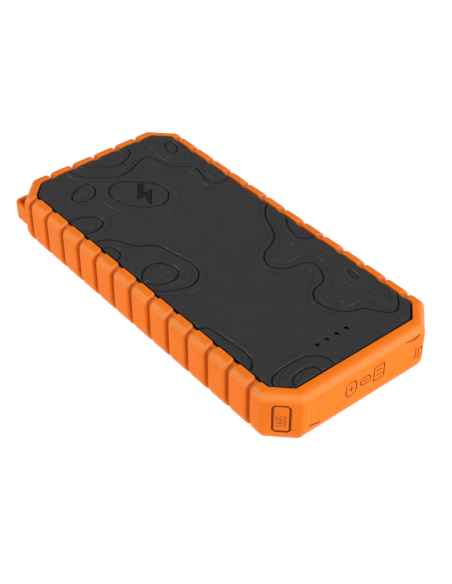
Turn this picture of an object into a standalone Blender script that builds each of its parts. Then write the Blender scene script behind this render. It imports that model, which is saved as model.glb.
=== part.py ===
"""Rugged pocket power bank: two black plastic shells in a ribbed orange rubber bumper.

Frame: X across the body, Y along it with the ports at -Y, Z up. The origin is the middle of
the footprint, on the surface that the bumper stands on. Everything is in metres.
"""

import math

import bmesh
import bpy
from mathutils import Matrix, Vector

MM = 0.001

# Overall size of the bumper, which is also the size of the power bank.
BODY_WIDTH = 86.0 * MM
BODY_LENGTH = 182.0 * MM
BODY_HEIGHT = 24.0 * MM
BODY_CORNER_CUT = 11.3 * MM

# The octagonal opening in the bumper that each cover shows through.
OPENING_WIDTH = 75.4 * MM
OPENING_LENGTH = 170.3 * MM
OPENING_CORNER_CUT = 7.3 * MM
REACH = (BODY_WIDTH - OPENING_WIDTH) / 2

# Bumper section: rounded shoulders top and bottom, and a channel that grips the shells.
# A shoulder is (inset at its end, height, power of its curve); a power of 1 is an ellipse.
TOP_SHOULDER = (4.2 * MM, 4.4 * MM, 1.0)
BOTTOM_SHOULDER = (3.8 * MM, 6.8 * MM, 1.25)
SHOULDER_STEPS = 5
LIP_FLAT = 0.5 * MM
LIP_THICKNESS = 2.4 * MM
CHANNEL_DEPTH = 1.4 * MM

# Grooves between the bumper's ribs.
GROOVE_DEPTH = 1.5 * MM
GROOVE_WIDTH = 3.8 * MM
GROOVE_FLOOR = 1.9 * MM
SIDE_GROOVES = 13
SIDE_PITCH = 12.33 * MM
SIDE_MIDDLE = 1.5 * MM
BACK_GROOVES = 5
BACK_PITCH = 11.85 * MM

GAP = 0.3 * MM

# Shells.
WALL_OUTER = CHANNEL_DEPTH - GAP
COVER_EDGE = -0.85 * MM
COVER_BEVEL = 0.6 * MM
COVER_SINK = 0.4 * MM
COVER_THICKNESS = 1.8 * MM
WALL_INNER = -1.2 * MM
COVER_WALL_INNER = -2.0 * MM
RIM_HEIGHT = 19.4 * MM
GASKET_THICKNESS = 0.6 * MM
GASKET_OUTER = 0.7 * MM
GASKET_INNER = -0.8 * MM
SHELL_WALL_TOP = RIM_HEIGHT - GASKET_THICKNESS - 2 * GAP

# Ports, behind the flap at -Y.
PORT_MIDDLE = 12.35 * MM
RECESS_WIDTH = 45.6 * MM
RECESS_HEIGHT = 12.0 * MM
RECESS_FLOOR = -83.8 * MM
BEZEL_WIDTH = 50.0 * MM
BEZEL_FRONT = -86.2 * MM
BEZEL_BACK = -81.6 * MM
BEZEL_BOTTOM = 3.0 * MM
BEZEL_NOTCH_FRONT = -90.0 * MM
USB_A_SIZE = (13.1 * MM, 12.4 * MM, 5.7 * MM)
USB_A_SPREAD = 15.8 * MM
USB_C_SIZE = (8.9 * MM, 7.3 * MM, 3.3 * MM)
PORTS = (
    ("usb_a_port_1", -USB_A_SPREAD, USB_A_SIZE),
    ("usb_c_port", 0.0, USB_C_SIZE),
    ("usb_a_port_2", USB_A_SPREAD, USB_A_SIZE),
)
PORT_WALL = 0.3 * MM
# (corner radius, half width of the tongue, its underside, its top, its tip's depth) of each kind.
USB_A_FORM = (0.6 * MM, 5.5 * MM, 0.1 * MM, 1.9 * MM, 2.6 * MM)
USB_C_FORM = (1.55 * MM, 3.3 * MM, -0.35 * MM, 0.35 * MM, 1.2 * MM)
TONGUE_BEVEL = 0.15 * MM
PORT_MOUTH = RECESS_FLOOR + 0.2 * MM

# Port flap, hinged at its left end on an upright axis.
FLAP_SINK = 0.4 * MM
FLAP_THICKNESS = 2.3 * MM
FLAP_LEFT = -25.2 * MM
FLAP_RIGHT = 24.3 * MM
FLAP_BOTTOM = 3.6 * MM
FLAP_TOP = 20.6 * MM
FLAP_OUTER = -BODY_LENGTH / 2 + FLAP_SINK
FLAP_AXIS = (FLAP_LEFT, FLAP_OUTER + FLAP_THICKNESS / 2)
FLAP_END_ANGLES = (170, 140, 115, 90)
FLAP_SEAT_FLARE_LEFT = 1.4 * MM
FLAP_SEAT_FLARE_RIGHT = 0.8 * MM

# Push button on the front left corner and torch on the front right corner. Depths run inwards
# from the middle of the cut corner's face.
CORNER_FITTING_Z = 12.5 * MM
FRAME_BORE = (-3.0 * MM, 7.0 * MM)
SHELL_BORE = (2.0 * MM, 9.0 * MM)
BUTTON_WIDTH = 6.0 * MM
BUTTON_HEIGHT = 12.4 * MM
BUTTON_GAP = 0.7 * MM
BUTTON_DEPTHS = (0.1 * MM, 3.4 * MM)
BUTTON_BEVEL = 0.5 * MM
STEM_HALF_WIDTH = 1.5 * MM
STEM_HOLE_HALF_WIDTH = 2.2 * MM
STEM_DEPTHS = (2.5 * MM, 6.6 * MM)
PLUNGER_RADIUS = 1.5 * MM
PLUNGER_DEPTHS = (6.95 * MM, 8.4 * MM)
SWITCH_HALF_WIDTH = 3.0 * MM
SWITCH_DEPTHS = (7.9 * MM, 11.4 * MM)
SWITCH_WELL_RADIUS = 1.8 * MM
SWITCH_WELL_DEPTHS = (7.0 * MM, 9.1 * MM)
TORCH_HOLE = 5.6 * MM
TORCH_SEAT = 5.4 * MM
TORCH_SEGMENTS = 28
# (radius, depth) pairs of the lens and of the reflector's thin cup.
TORCH_LENS = ((4.4 * MM, 0.5 * MM), (5.1 * MM, 1.0 * MM), (5.1 * MM, 1.9 * MM))
TORCH_CUP = ((1.9 * MM, 6.8 * MM), (2.5 * MM, 6.8 * MM), (5.0 * MM, 2.2 * MM), (4.5 * MM, 2.2 * MM))
TORCH_LED_HALF_WIDTH = 1.75 * MM
TORCH_LED_DEPTHS = (7.1 * MM, 8.0 * MM)
TORCH_BOARD_RADIUS = 4.8 * MM
TORCH_BOARD_DEPTHS = (8.3 * MM, 9.3 * MM)

# Circuit board, battery and fixings.
BOARD_BOTTOM = 8.0 * MM
BOARD_THICKNESS = 1.2 * MM
BOARD_TOP = BOARD_BOTTOM + BOARD_THICKNESS
BOARD_HALF_WIDTH = 25.5 * MM
BOARD_FRONT = -81.2 * MM
BOARD_BACK = -55.0 * MM
BOARD_RIB_PLACES = (-77.0 * MM, -59.0 * MM)
BOARD_RIB_HALF_LENGTH = 18.0 * MM
BOARD_RIB_HALF_THICKNESS = 0.8 * MM
SOLDERED_BASE = BOARD_TOP + GAP
CELL_SIZE = (66.0 * MM, 126.0 * MM, 8.9 * MM)
CELL_MIDDLE_Y = 11.5 * MM
CELL_BOTTOM = 2.6 * MM
CELL_BEVEL = 1.2 * MM
PAD_THICKNESS = 0.5 * MM
PAD_INSET = 4.0 * MM
GUARD_HALF_WIDTH = 20.0 * MM
GUARD_THICKNESS = 1.0 * MM
GUARD_BOTTOM = 8.2 * MM
GUARD_TOP = 16.0 * MM
LEAD_X = 13.0 * MM
LEAD_RADIUS = 0.7 * MM
LEAD_START_Z = 13.5 * MM
LEAD_REACH = 3.4 * MM
LEAD_STEPS = 6
INDICATOR_COUNT = 4
INDICATOR_PITCH = 5.08 * MM
INDICATOR_MIDDLE = (-0.4 * MM, -72.2 * MM)
INDICATOR_HOLE = 0.95 * MM
INDICATOR_CHIP = (1.6 * MM, 1.0 * MM, 0.6 * MM)
PIPE_RADIUS = 0.65 * MM
PIPE_END_GAP = 0.9 * MM
INDUCTOR_SIZE = (8.0 * MM, 8.0 * MM, 4.2 * MM)
INDUCTOR_PLACES = ((-17.5 * MM, -64.0 * MM), (17.5 * MM, -64.0 * MM))
INDUCTOR_BEVEL = 0.5 * MM
CONTROLLER_SIZE = (7.0 * MM, 7.0 * MM, 0.9 * MM)
CONTROLLER_PLACE = (0.0, -65.0 * MM)
CAPACITOR_PLACES = ((-9.0 * MM, -64.5 * MM), (9.0 * MM, -64.5 * MM))
CAPACITOR_RADIUS = 2.4 * MM
CAPACITOR_HEIGHT = 5.9 * MM
CAPACITOR_BEVEL = 0.3 * MM
SCREW_PLACES = (
    (-32.5 * MM, -60.0 * MM),
    (32.5 * MM, -60.0 * MM),
    (-29.0 * MM, 79.2 * MM),
    (29.0 * MM, 79.2 * MM),
)
BOSS_RADIUS = 3.0 * MM
BOSS_FOOT = 1.5 * MM
BOSS_TOP = 10.0 * MM
SCREW_HOLE = 1.35 * MM
SCREW_HOLE_TOP = 15.0 * MM
SCREW_HEAD_HOLE = 2.3 * MM
SCREW_HEAD_SEAT = 2.6 * MM
# (radius, height) pairs of a screw, from its head up to its tip.
SCREW_PROFILE = (
    (1.7 * MM, 0.9 * MM),
    (2.0 * MM, 1.2 * MM),
    (2.0 * MM, 2.3 * MM),
    (1.0 * MM, 2.3 * MM),
    (1.0 * MM, 14.0 * MM),
    (0.4 * MM, 14.6 * MM),
)

# Carrying loop, a strap that squares off the back left corner.
LOOP_OUTER = (-42.4 * MM, 90.4 * MM)
LOOP_THICKNESS = 2.0 * MM
LOOP_BOTTOM = 8.0 * MM
LOOP_TOP = 16.5 * MM
LOOP_CORNER_RADIUS = 3.2 * MM
LOOP_ROOT = 1.0 * MM
LOOP_POCKET_DEPTH = 2.4 * MM
LOOP_POCKET_WIDTH = 10.0 * MM
LOOP_POCKET_REACH = 9.0 * MM
LOOP_POCKET_MARGIN = 2.2 * MM
# Holes start or end this far outside the solid that they pass through.
CLEAR = 1.0 * MM

COLOURS = {
    "orange_rubber": ((1.0, 0.20, 0.025), 0.55, 0.0),
    "black_plastic": ((0.040, 0.040, 0.043), 0.5, 0.0),
    "dark_rubber": ((0.02, 0.02, 0.02), 0.8, 0.0),
    "steel": ((0.6, 0.6, 0.62), 0.3, 1.0),
    "board_green": ((0.02, 0.16, 0.06), 0.45, 0.0),
    "chip_black": ((0.025, 0.025, 0.028), 0.5, 0.0),
    "ferrite": ((0.09, 0.09, 0.10), 0.7, 0.0),
    "silver_foil": ((0.62, 0.63, 0.65), 0.4, 0.6),
    "foam": ((0.85, 0.83, 0.78), 0.9, 0.0),
    "wire_red": ((0.7, 0.03, 0.02), 0.5, 0.0),
    "wire_black": ((0.02, 0.02, 0.02), 0.5, 0.0),
    "clear_lens": ((0.9, 0.92, 0.95), 0.05, 0.0),
    "bright_reflector": ((0.85, 0.85, 0.87), 0.12, 1.0),
    "led_yellow": ((0.95, 0.8, 0.2), 0.4, 0.0),
    "led_white": ((0.9, 0.9, 0.85), 0.4, 0.0),
    "smoked_clear": ((0.05, 0.05, 0.055), 0.1, 0.0),
}


def material(name):
    """The Principled material of that name, made once."""
    found = bpy.data.materials.get(name)
    if found:
        return found
    colour, roughness, metallic = COLOURS[name]
    made = bpy.data.materials.new(name)
    made.use_nodes = True
    shader = made.node_tree.nodes["Principled BSDF"]
    shader.inputs["Base Color"].default_value = (*colour, 1.0)
    shader.inputs["Roughness"].default_value = roughness
    shader.inputs["Metallic"].default_value = metallic
    return made


def add_object(name, bm, finish, origin=(0, 0, 0)):
    """A scene object from a bmesh given in the part's frame, with its own origin."""
    bmesh.ops.recalc_face_normals(bm, faces=bm.faces)
    origin = Vector(origin)
    bmesh.ops.translate(bm, verts=bm.verts, vec=-origin)
    mesh = bpy.data.meshes.new(name)
    bm.to_mesh(mesh)
    bm.free()
    made = bpy.data.objects.new(name, mesh)
    made.location = origin
    bpy.context.scene.collection.objects.link(made)
    if finish:
        mesh.materials.append(material(finish))
        mesh.shade_smooth()
        mesh.set_sharp_from_angle(angle=math.radians(35))
    return made


def combine(target, tool, operation):
    """Cuts tool out of target, or joins it on, and keeps tool as a hidden guide."""
    tool.hide_render = True
    tool.display_type = "WIRE"
    modifier = target.modifiers.new(f"{operation.lower()}_{tool.name}", "BOOLEAN")
    modifier.operation = operation
    modifier.solver = "EXACT"
    modifier.object = tool


def skin(rings, closed=False):
    """A bmesh through rings of points: capped at both ends, or closed on itself."""
    bm = bmesh.new()
    rows = [[bm.verts.new(point) for point in ring] for ring in rings]
    pairs = list(zip(rows, rows[1:]))
    if closed:
        pairs.append((rows[-1], rows[0]))
    else:
        bm.faces.new(reversed(rows[0]))
        bm.faces.new(rows[-1])
    for low, high in pairs:
        for i in range(len(low)):
            j = (i + 1) % len(low)
            bm.faces.new((low[i], low[j], high[j], high[i]))
    return bm


def block(low, high, bevel=0.0, turn=None):
    """A box between two corners, its edges bevelled, then turned by a matrix."""
    bm = bmesh.new()
    bmesh.ops.create_cube(bm, size=1.0)
    size = [b - a for a, b in zip(low, high)]
    middle = [(a + b) / 2 for a, b in zip(low, high)]
    bmesh.ops.scale(bm, verts=bm.verts, vec=size)
    bmesh.ops.translate(bm, verts=bm.verts, vec=middle)
    if bevel:
        bmesh.ops.bevel(bm, geom=bm.edges[:], offset=bevel, segments=1, affect="EDGES")
    if turn:
        bmesh.ops.transform(bm, verts=bm.verts, matrix=turn)
    return bm


def turned(profile, segments=20, turn=None):
    """A solid of revolution about Z from (radius, height) pairs, capped at both ends."""
    steps = [2 * math.pi * i / segments for i in range(segments)]
    rings = [[(r * math.cos(a), r * math.sin(a), z) for a in steps] for r, z in profile]
    bm = skin(rings)
    if turn:
        bmesh.ops.transform(bm, verts=bm.verts, matrix=turn)
    return bm


def post(name, x, y, radius, low, high, segments=16):
    """A plain upright cylinder, used to add a boss or to cut a hole."""
    profile = ((radius, low), (radius, high))
    return add_object(name, turned(profile, segments, Matrix.Translation((x, y, 0))), None)


def octagon(width, length, cut):
    """Corners of a rectangle with cut corners, anticlockwise from the front side's left."""
    x = width / 2
    y = length / 2
    quarter = ((x - cut, -y), (x, cut - y), (x, y - cut), (x - cut, y))
    return [(cut - x, -y), *quarter, (cut - x, y), (-x, y - cut), (-x, cut - y)]


OPENING = octagon(OPENING_WIDTH, OPENING_LENGTH, OPENING_CORNER_CUT)
OUTSIDE = octagon(BODY_WIDTH, BODY_LENGTH, BODY_CORNER_CUT)


def between(inner, outer, distance):
    """The point at that distance out from the opening's edge, on the way to the outside."""
    share = distance / REACH
    return tuple(a + (b - a) * share for a, b in zip(inner, outer))


def rim(distance, z):
    """The octagon at that distance outside the opening, at height z."""
    return [(*between(a, b, distance), z) for a, b in zip(OPENING, OUTSIDE)]


def shoulder(form):
    """(inset from the outer face, drop from the end) pairs along a rounded shoulder."""
    inset, height, power = form
    for step in range(SHOULDER_STEPS + 1):
        angle = math.pi / 2 * step / SHOULDER_STEPS
        across = math.sin(angle) ** power
        down = 1 - max(math.cos(angle), 0.0) ** power
        yield inset * (1 - across), height * down


def flank(cut_back):
    """The bumper's outer profile from lip to foot, as (distance, height) pairs."""
    face = REACH - cut_back
    top = BODY_HEIGHT - cut_back
    upper = [(max(face - inset, LIP_FLAT), top - drop) for inset, drop in shoulder(TOP_SHOULDER)]
    lower = [(max(face - inset, LIP_FLAT), cut_back + drop) for inset, drop in shoulder(BOTTOM_SHOULDER)]
    return upper + lower[::-1]


def bumper_section(cut_back):
    """The bumper's whole section as (distance, height) pairs, cut back in a groove."""
    lip_under = BODY_HEIGHT - LIP_THICKNESS
    channel = (
        (0.0, cut_back),
        (0.0, LIP_THICKNESS),
        (CHANNEL_DEPTH, LIP_THICKNESS),
        (CHANNEL_DEPTH, lip_under),
        (0.0, lip_under),
        (0.0, BODY_HEIGHT - cut_back),
    )
    return flank(cut_back) + list(channel)


def groove_stations(middle):
    """(place along a side, depth) pairs that cut one groove."""
    yield middle - GROOVE_WIDTH / 2, 0.0
    yield middle - GROOVE_FLOOR / 2, GROOVE_DEPTH
    yield middle + GROOVE_FLOOR / 2, GROOVE_DEPTH
    yield middle + GROOVE_WIDTH / 2, 0.0


def spread(count, pitch, middle=0.0):
    """Evenly spaced places about a middle."""
    return [middle + (i - (count - 1) / 2) * pitch for i in range(count)]


def bumper_stations():
    """(opening point, outside point, depth) all the way round the bumper."""
    side_places = spread(SIDE_GROOVES, SIDE_PITCH, SIDE_MIDDLE)
    back_places = spread(BACK_GROOVES, BACK_PITCH)
    for corner, (inner, outer) in enumerate(zip(OPENING, OUTSIDE)):
        yield inner, outer, 0.0
        if corner == 2:
            for y, depth in (s for place in side_places for s in groove_stations(place)):
                yield (OPENING_WIDTH / 2, y), (BODY_WIDTH / 2, y), depth
        elif corner == 4:
            for x, depth in (s for place in back_places for s in groove_stations(place)):
                yield (-x, OPENING_LENGTH / 2), (-x, BODY_LENGTH / 2), depth
        elif corner == 6:
            backwards = [s for place in side_places for s in groove_stations(place)][::-1]
            for y, depth in backwards:
                yield (-OPENING_WIDTH / 2, y), (-BODY_WIDTH / 2, y), depth


def corner_turn(side):
    """Matrix from a front corner's own axes (X along it, Y inwards, Z up) to the part's."""
    x = side * (BODY_WIDTH - BODY_CORNER_CUT) / 2
    y = -(BODY_LENGTH - BODY_CORNER_CUT) / 2
    return Matrix.Translation((x, y, CORNER_FITTING_Z)) @ Matrix.Rotation(side * math.pi / 4, 4, "Z")


def corner_axis(side):
    """Matrix that also lays a turned solid's Z axis inwards along a front corner's axis."""
    return corner_turn(side) @ Matrix.Rotation(-math.pi / 2, 4, "X")


def corner_block(side, half_width, half_height, depths, bevel=0.0):
    """A box square to a front corner's face, between two depths."""
    low = (-half_width, depths[0], -half_height)
    high = (half_width, depths[1], half_height)
    return block(low, high, bevel, corner_turn(side))


def corner_rod(side, radius, depths, segments=16):
    """A cylinder on a front corner's axis, between two depths."""
    return turned([(radius, depth) for depth in depths], segments, corner_axis(side))


def loop_outline(distance):
    """Plan of the carrying loop's strap, at that distance inside its outer faces."""
    x = LOOP_OUTER[0] + distance
    y = LOOP_OUTER[1] - distance
    radius = LOOP_CORNER_RADIUS - distance
    steps = [math.pi / 2 * i / 4 for i in range(5)]
    bend = [(x + radius * (1 - math.cos(a)), y - radius * (1 - math.sin(a))) for a in steps]
    side_root = (x, BODY_LENGTH / 2 - BODY_CORNER_CUT - LOOP_ROOT)
    back_root = (BODY_CORNER_CUT + LOOP_ROOT - BODY_WIDTH / 2, y)
    return [side_root, *bend, back_root]


def make_bumper():
    """The ribbed rubber frame, with its loop and the openings for ports, button and torch."""
    rings = []
    for inner, outer, depth in bumper_stations():
        rings.append([(*between(inner, outer, d), z) for d, z in bumper_section(depth)])
    bumper = add_object("bumper_frame", skin(rings, closed=True), "orange_rubber")

    chamfer = Matrix.Translation(((BODY_CORNER_CUT - BODY_WIDTH) / 2, (BODY_LENGTH - BODY_CORNER_CUT) / 2, 0))
    chamfer = chamfer @ Matrix.Rotation(math.pi / 4, 4, "Z")
    pocket = block(
        (-LOOP_POCKET_WIDTH / 2, -LOOP_POCKET_DEPTH, LOOP_BOTTOM - LOOP_POCKET_MARGIN),
        (LOOP_POCKET_WIDTH / 2, LOOP_POCKET_REACH, LOOP_TOP + LOOP_POCKET_MARGIN),
        turn=chamfer,
    )
    combine(bumper, add_object("cut_loop_pocket", pocket, None), "DIFFERENCE")
    outline = loop_outline(0.0) + loop_outline(LOOP_THICKNESS)[::-1]
    strap = skin([[(x, y, z) for x, y in outline] for z in (LOOP_BOTTOM, LOOP_TOP)])
    combine(bumper, add_object("add_loop_strap", strap, None), "UNION")

    plan = (
        (FLAP_LEFT - FLAP_THICKNESS / 2 - GAP, FLAP_OUTER + FLAP_THICKNESS + GAP),
        (FLAP_RIGHT + GAP, FLAP_OUTER + FLAP_THICKNESS + GAP),
        (FLAP_RIGHT + GAP + FLAP_SEAT_FLARE_RIGHT, -BODY_LENGTH / 2 - GAP),
        (FLAP_LEFT - FLAP_THICKNESS - FLAP_SEAT_FLARE_LEFT, -BODY_LENGTH / 2 - GAP),
    )
    seat = skin([[(x, y, z) for x, y in plan] for z in (FLAP_BOTTOM - GAP, FLAP_TOP + GAP)])
    combine(bumper, add_object("cut_flap_seat", seat, None), "DIFFERENCE")
    window = block(
        (-RECESS_WIDTH / 2, -BODY_LENGTH / 2, PORT_MIDDLE - RECESS_HEIGHT / 2),
        (RECESS_WIDTH / 2, -OPENING_LENGTH / 2, PORT_MIDDLE + RECESS_HEIGHT / 2),
    )
    combine(bumper, add_object("cut_port_window", window, None), "DIFFERENCE")

    half_width = BUTTON_WIDTH / 2 + BUTTON_GAP
    half_height = BUTTON_HEIGHT / 2 + BUTTON_GAP
    hole = corner_block(-1, half_width, half_height, FRAME_BORE)
    combine(bumper, add_object("cut_button_hole", hole, None), "DIFFERENCE")
    bore = corner_rod(1, TORCH_HOLE, FRAME_BORE, TORCH_SEGMENTS)
    combine(bumper, add_object("cut_torch_hole", bore, None), "DIFFERENCE")


def make_bottom_shell():
    """The lower plastic tub, with screw bosses, board ribs, a notch for the bezel and corner holes."""
    floor_low = COVER_SINK
    floor_high = floor_low + COVER_THICKNESS
    step = LIP_THICKNESS + GAP
    rings = (
        rim(COVER_EDGE - COVER_BEVEL, floor_low),
        rim(COVER_EDGE, floor_low + COVER_BEVEL),
        rim(COVER_EDGE, step),
        rim(WALL_OUTER, step),
        rim(WALL_OUTER, SHELL_WALL_TOP),
        rim(WALL_INNER, SHELL_WALL_TOP),
        rim(WALL_INNER, floor_high),
    )
    shell = add_object("bottom_shell", skin(rings), "black_plastic")
    notch = block(
        (-BEZEL_WIDTH / 2 - GAP, BEZEL_NOTCH_FRONT, BEZEL_BOTTOM - GAP),
        (BEZEL_WIDTH / 2 + GAP, BEZEL_BACK + GAP, SHELL_WALL_TOP + CLEAR),
    )
    combine(shell, add_object("cut_bezel_notch", notch, None), "DIFFERENCE")
    for i, y in enumerate(BOARD_RIB_PLACES):
        rib = block(
            (-BOARD_RIB_HALF_LENGTH, y - BOARD_RIB_HALF_THICKNESS, floor_high - GAP),
            (BOARD_RIB_HALF_LENGTH, y + BOARD_RIB_HALF_THICKNESS, BOARD_BOTTOM - GAP),
        )
        combine(shell, add_object(f"add_board_rib_{i + 1}", rib, None), "UNION")
    hole = (
        (SCREW_HEAD_HOLE, -CLEAR),
        (SCREW_HEAD_HOLE, SCREW_HEAD_SEAT),
        (SCREW_HOLE, SCREW_HEAD_SEAT),
        (SCREW_HOLE, BOSS_TOP + CLEAR),
    )
    for i, (x, y) in enumerate(SCREW_PLACES):
        combine(shell, post(f"add_boss_{i + 1}", x, y, BOSS_RADIUS, BOSS_FOOT, BOSS_TOP), "UNION")
        bore = turned(hole, 16, Matrix.Translation((x, y, 0)))
        combine(shell, add_object(f"cut_boss_{i + 1}", bore, None), "DIFFERENCE")
    stem = corner_block(-1, STEM_HOLE_HALF_WIDTH, STEM_HOLE_HALF_WIDTH, SHELL_BORE)
    combine(shell, add_object("cut_button_stem", stem, None), "DIFFERENCE")
    bore = corner_rod(1, TORCH_SEAT, SHELL_BORE, TORCH_SEGMENTS)
    combine(shell, add_object("cut_torch_seat", bore, None), "DIFFERENCE")


def make_port_bezel():
    """The plastic frame round the ports, with the recess that the flap closes."""
    low = (-BEZEL_WIDTH / 2, BEZEL_FRONT, BEZEL_BOTTOM)
    high = (BEZEL_WIDTH / 2, BEZEL_BACK, SHELL_WALL_TOP)
    bezel = add_object("port_bezel", block(low, high), "black_plastic")
    recess = block(
        (-RECESS_WIDTH / 2, BEZEL_FRONT - CLEAR, PORT_MIDDLE - RECESS_HEIGHT / 2),
        (RECESS_WIDTH / 2, RECESS_FLOOR, PORT_MIDDLE + RECESS_HEIGHT / 2),
    )
    combine(bezel, add_object("cut_port_recess", recess, None), "DIFFERENCE")
    for name, x, (width, _, height) in PORTS:
        low = (x - width / 2 - GAP, BEZEL_FRONT - CLEAR, PORT_MIDDLE - height / 2 - GAP)
        high = (x + width / 2 + GAP, BEZEL_BACK + CLEAR, PORT_MIDDLE + height / 2 + GAP)
        combine(bezel, add_object(f"cut_{name}", block(low, high), None), "DIFFERENCE")


def make_top_cover():
    """The upper cover plate with its flange, screw posts and indicator holes."""
    top = BODY_HEIGHT - COVER_SINK
    flange_top = BODY_HEIGHT - LIP_THICKNESS - GAP
    rings = (
        rim(COVER_EDGE - COVER_BEVEL, top),
        rim(COVER_EDGE, top - COVER_BEVEL),
        rim(COVER_EDGE, flange_top),
        rim(WALL_OUTER, flange_top),
        rim(WALL_OUTER, RIM_HEIGHT),
        rim(COVER_WALL_INNER, RIM_HEIGHT),
        rim(COVER_WALL_INNER, top - COVER_THICKNESS),
    )
    cover = add_object("top_cover", skin(rings), "black_plastic")
    for i, (x, y) in enumerate(SCREW_PLACES):
        combine(cover, post(f"add_post_{i + 1}", x, y, BOSS_RADIUS, BOSS_TOP + GAP, top - CLEAR), "UNION")
        hole = post(f"cut_post_{i + 1}", x, y, SCREW_HOLE, BOSS_TOP - CLEAR, SCREW_HOLE_TOP)
        combine(cover, hole, "DIFFERENCE")
    low = top - COVER_THICKNESS - CLEAR
    for i, x in enumerate(indicator_places()):
        hole = post(f"cut_indicator_{i + 1}", x, INDICATOR_MIDDLE[1], INDICATOR_HOLE, low, top + CLEAR)
        combine(cover, hole, "DIFFERENCE")


def make_gasket():
    """The rubber ring between the two shells."""
    low = RIM_HEIGHT - GASKET_THICKNESS - GAP
    high = RIM_HEIGHT - GAP
    sections = ((GASKET_OUTER, low), (GASKET_OUTER, high), (GASKET_INNER, high), (GASKET_INNER, low))
    rings = [rim(distance, z) for distance, z in sections]
    add_object("seal_gasket", skin(rings, closed=True), "dark_rubber")


def flap_face(z):
    """Depth of the bumper's front face behind its fullest point, at height z."""
    profile = flank(0.0)
    for (d0, z0), (d1, z1) in zip(profile, profile[1:]):
        if z1 <= z <= z0:
            share = (z0 - z) / (z0 - z1)
            scale = (BODY_LENGTH - OPENING_LENGTH) / 2 / REACH
            return (REACH - d0 - (d1 - d0) * share) * scale
    return 0.0


def make_port_flap():
    """The rubber door over the ports; its left end is round about the hinge axis."""
    axis_x, axis_y = FLAP_AXIS
    levels = [FLAP_BOTTOM]
    levels += [z for _, z in reversed(flank(0.0)) if FLAP_BOTTOM < z < FLAP_TOP]
    levels.append(FLAP_TOP)

    def section(x, fullness):
        front = [(x, axis_y + (FLAP_OUTER + flap_face(z) - axis_y) * fullness, z) for z in levels]
        back = axis_y + FLAP_THICKNESS / 2 * fullness
        return [*front, (x, back, FLAP_TOP), (x, back, FLAP_BOTTOM)]

    rings = []
    for degrees in FLAP_END_ANGLES:
        angle = math.radians(degrees)
        rings.append(section(axis_x + FLAP_THICKNESS / 2 * math.cos(angle), math.sin(angle)))
    rings.append(section(FLAP_RIGHT, 1.0))
    add_object("port_flap", skin(rings), "orange_rubber", origin=(axis_x, axis_y, BODY_HEIGHT / 2))


def make_button():
    """The power button's cap and stem, the switch plunger that it presses, and the switch."""
    middle = corner_turn(-1).translation
    cap = corner_block(-1, BUTTON_WIDTH / 2, BUTTON_HEIGHT / 2, BUTTON_DEPTHS, BUTTON_BEVEL)
    button = add_object("power_button", cap, "orange_rubber", origin=middle)
    stem = corner_block(-1, STEM_HALF_WIDTH, STEM_HALF_WIDTH, STEM_DEPTHS)
    combine(button, add_object("add_button_stem", stem, None), "UNION")
    pin = corner_rod(-1, PLUNGER_RADIUS, PLUNGER_DEPTHS)
    add_object("switch_plunger", pin, "chip_black", origin=middle)
    body = corner_block(-1, SWITCH_HALF_WIDTH, SWITCH_HALF_WIDTH, SWITCH_DEPTHS)
    switch = add_object("button_switch", body, "steel")
    well = corner_rod(-1, SWITCH_WELL_RADIUS, SWITCH_WELL_DEPTHS)
    combine(switch, add_object("cut_switch_well", well, None), "DIFFERENCE")


def make_torch():
    """Lens, reflector, LED and round board of the torch, on the front right corner's axis."""
    axis = corner_axis(1)
    add_object("torch_lens", turned(TORCH_LENS, TORCH_SEGMENTS, axis), "clear_lens")
    steps = [2 * math.pi * i / TORCH_SEGMENTS for i in range(TORCH_SEGMENTS)]
    rings = [[axis @ Vector((r * math.cos(a), r * math.sin(a), z)) for a in steps] for r, z in TORCH_CUP]
    add_object("torch_reflector", skin(rings, closed=True), "bright_reflector")
    chip = corner_block(1, TORCH_LED_HALF_WIDTH, TORCH_LED_HALF_WIDTH, TORCH_LED_DEPTHS)
    add_object("torch_led", chip, "led_yellow")
    board = corner_rod(1, TORCH_BOARD_RADIUS, TORCH_BOARD_DEPTHS, TORCH_SEGMENTS)
    add_object("torch_board", board, "board_green")


def rounded_outline(width, height, radius, steps=4):
    """A rectangle with round corners in the XZ plane, about the origin."""
    points = []
    for quarter, (sx, sz) in enumerate(((1, 1), (-1, 1), (-1, -1), (1, -1))):
        for step in range(steps + 1):
            angle = math.pi / 2 * (quarter + step / steps)
            x = sx * (width / 2 - radius) + radius * math.cos(angle)
            z = sz * (height / 2 - radius) + radius * math.sin(angle)
            points.append((x, z))
    return points


def make_ports():
    """Each socket's metal shell, open at the mouth, and the plastic tongue inside it."""
    for name, x, size in PORTS:
        width, depth, height = size
        radius, half, low, high, tip = USB_C_FORM if size == USB_C_SIZE else USB_A_FORM
        outside = rounded_outline(width, height, radius)
        inside = rounded_outline(width - 2 * PORT_WALL, height - 2 * PORT_WALL, radius - PORT_WALL)
        back = PORT_MOUTH + depth
        stages = ((outside, back), (outside, PORT_MOUTH), (inside, PORT_MOUTH), (inside, back - PORT_WALL))
        rings = [[(x + a, y, PORT_MIDDLE + b) for a, b in outline] for outline, y in stages]
        add_object(f"{name}_shell", skin(rings), "steel")
        tongue = block(
            (x - half, PORT_MOUTH + tip, PORT_MIDDLE + low),
            (x + half, back - PORT_WALL - GAP, PORT_MIDDLE + high),
            TONGUE_BEVEL,
        )
        add_object(f"{name}_tongue", tongue, "chip_black")


def indicator_places():
    """X of each charge indicator."""
    return spread(INDICATOR_COUNT, INDICATOR_PITCH, INDICATOR_MIDDLE[0])


def on_board(name, place, size, finish, bevel=0.0):
    """A box-shaped component that stands on the main board."""
    x, y = place
    width, length, height = size
    low = (x - width / 2, y - length / 2, SOLDERED_BASE)
    high = (x + width / 2, y + length / 2, SOLDERED_BASE + height)
    add_object(name, block(low, high, bevel), finish)


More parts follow.
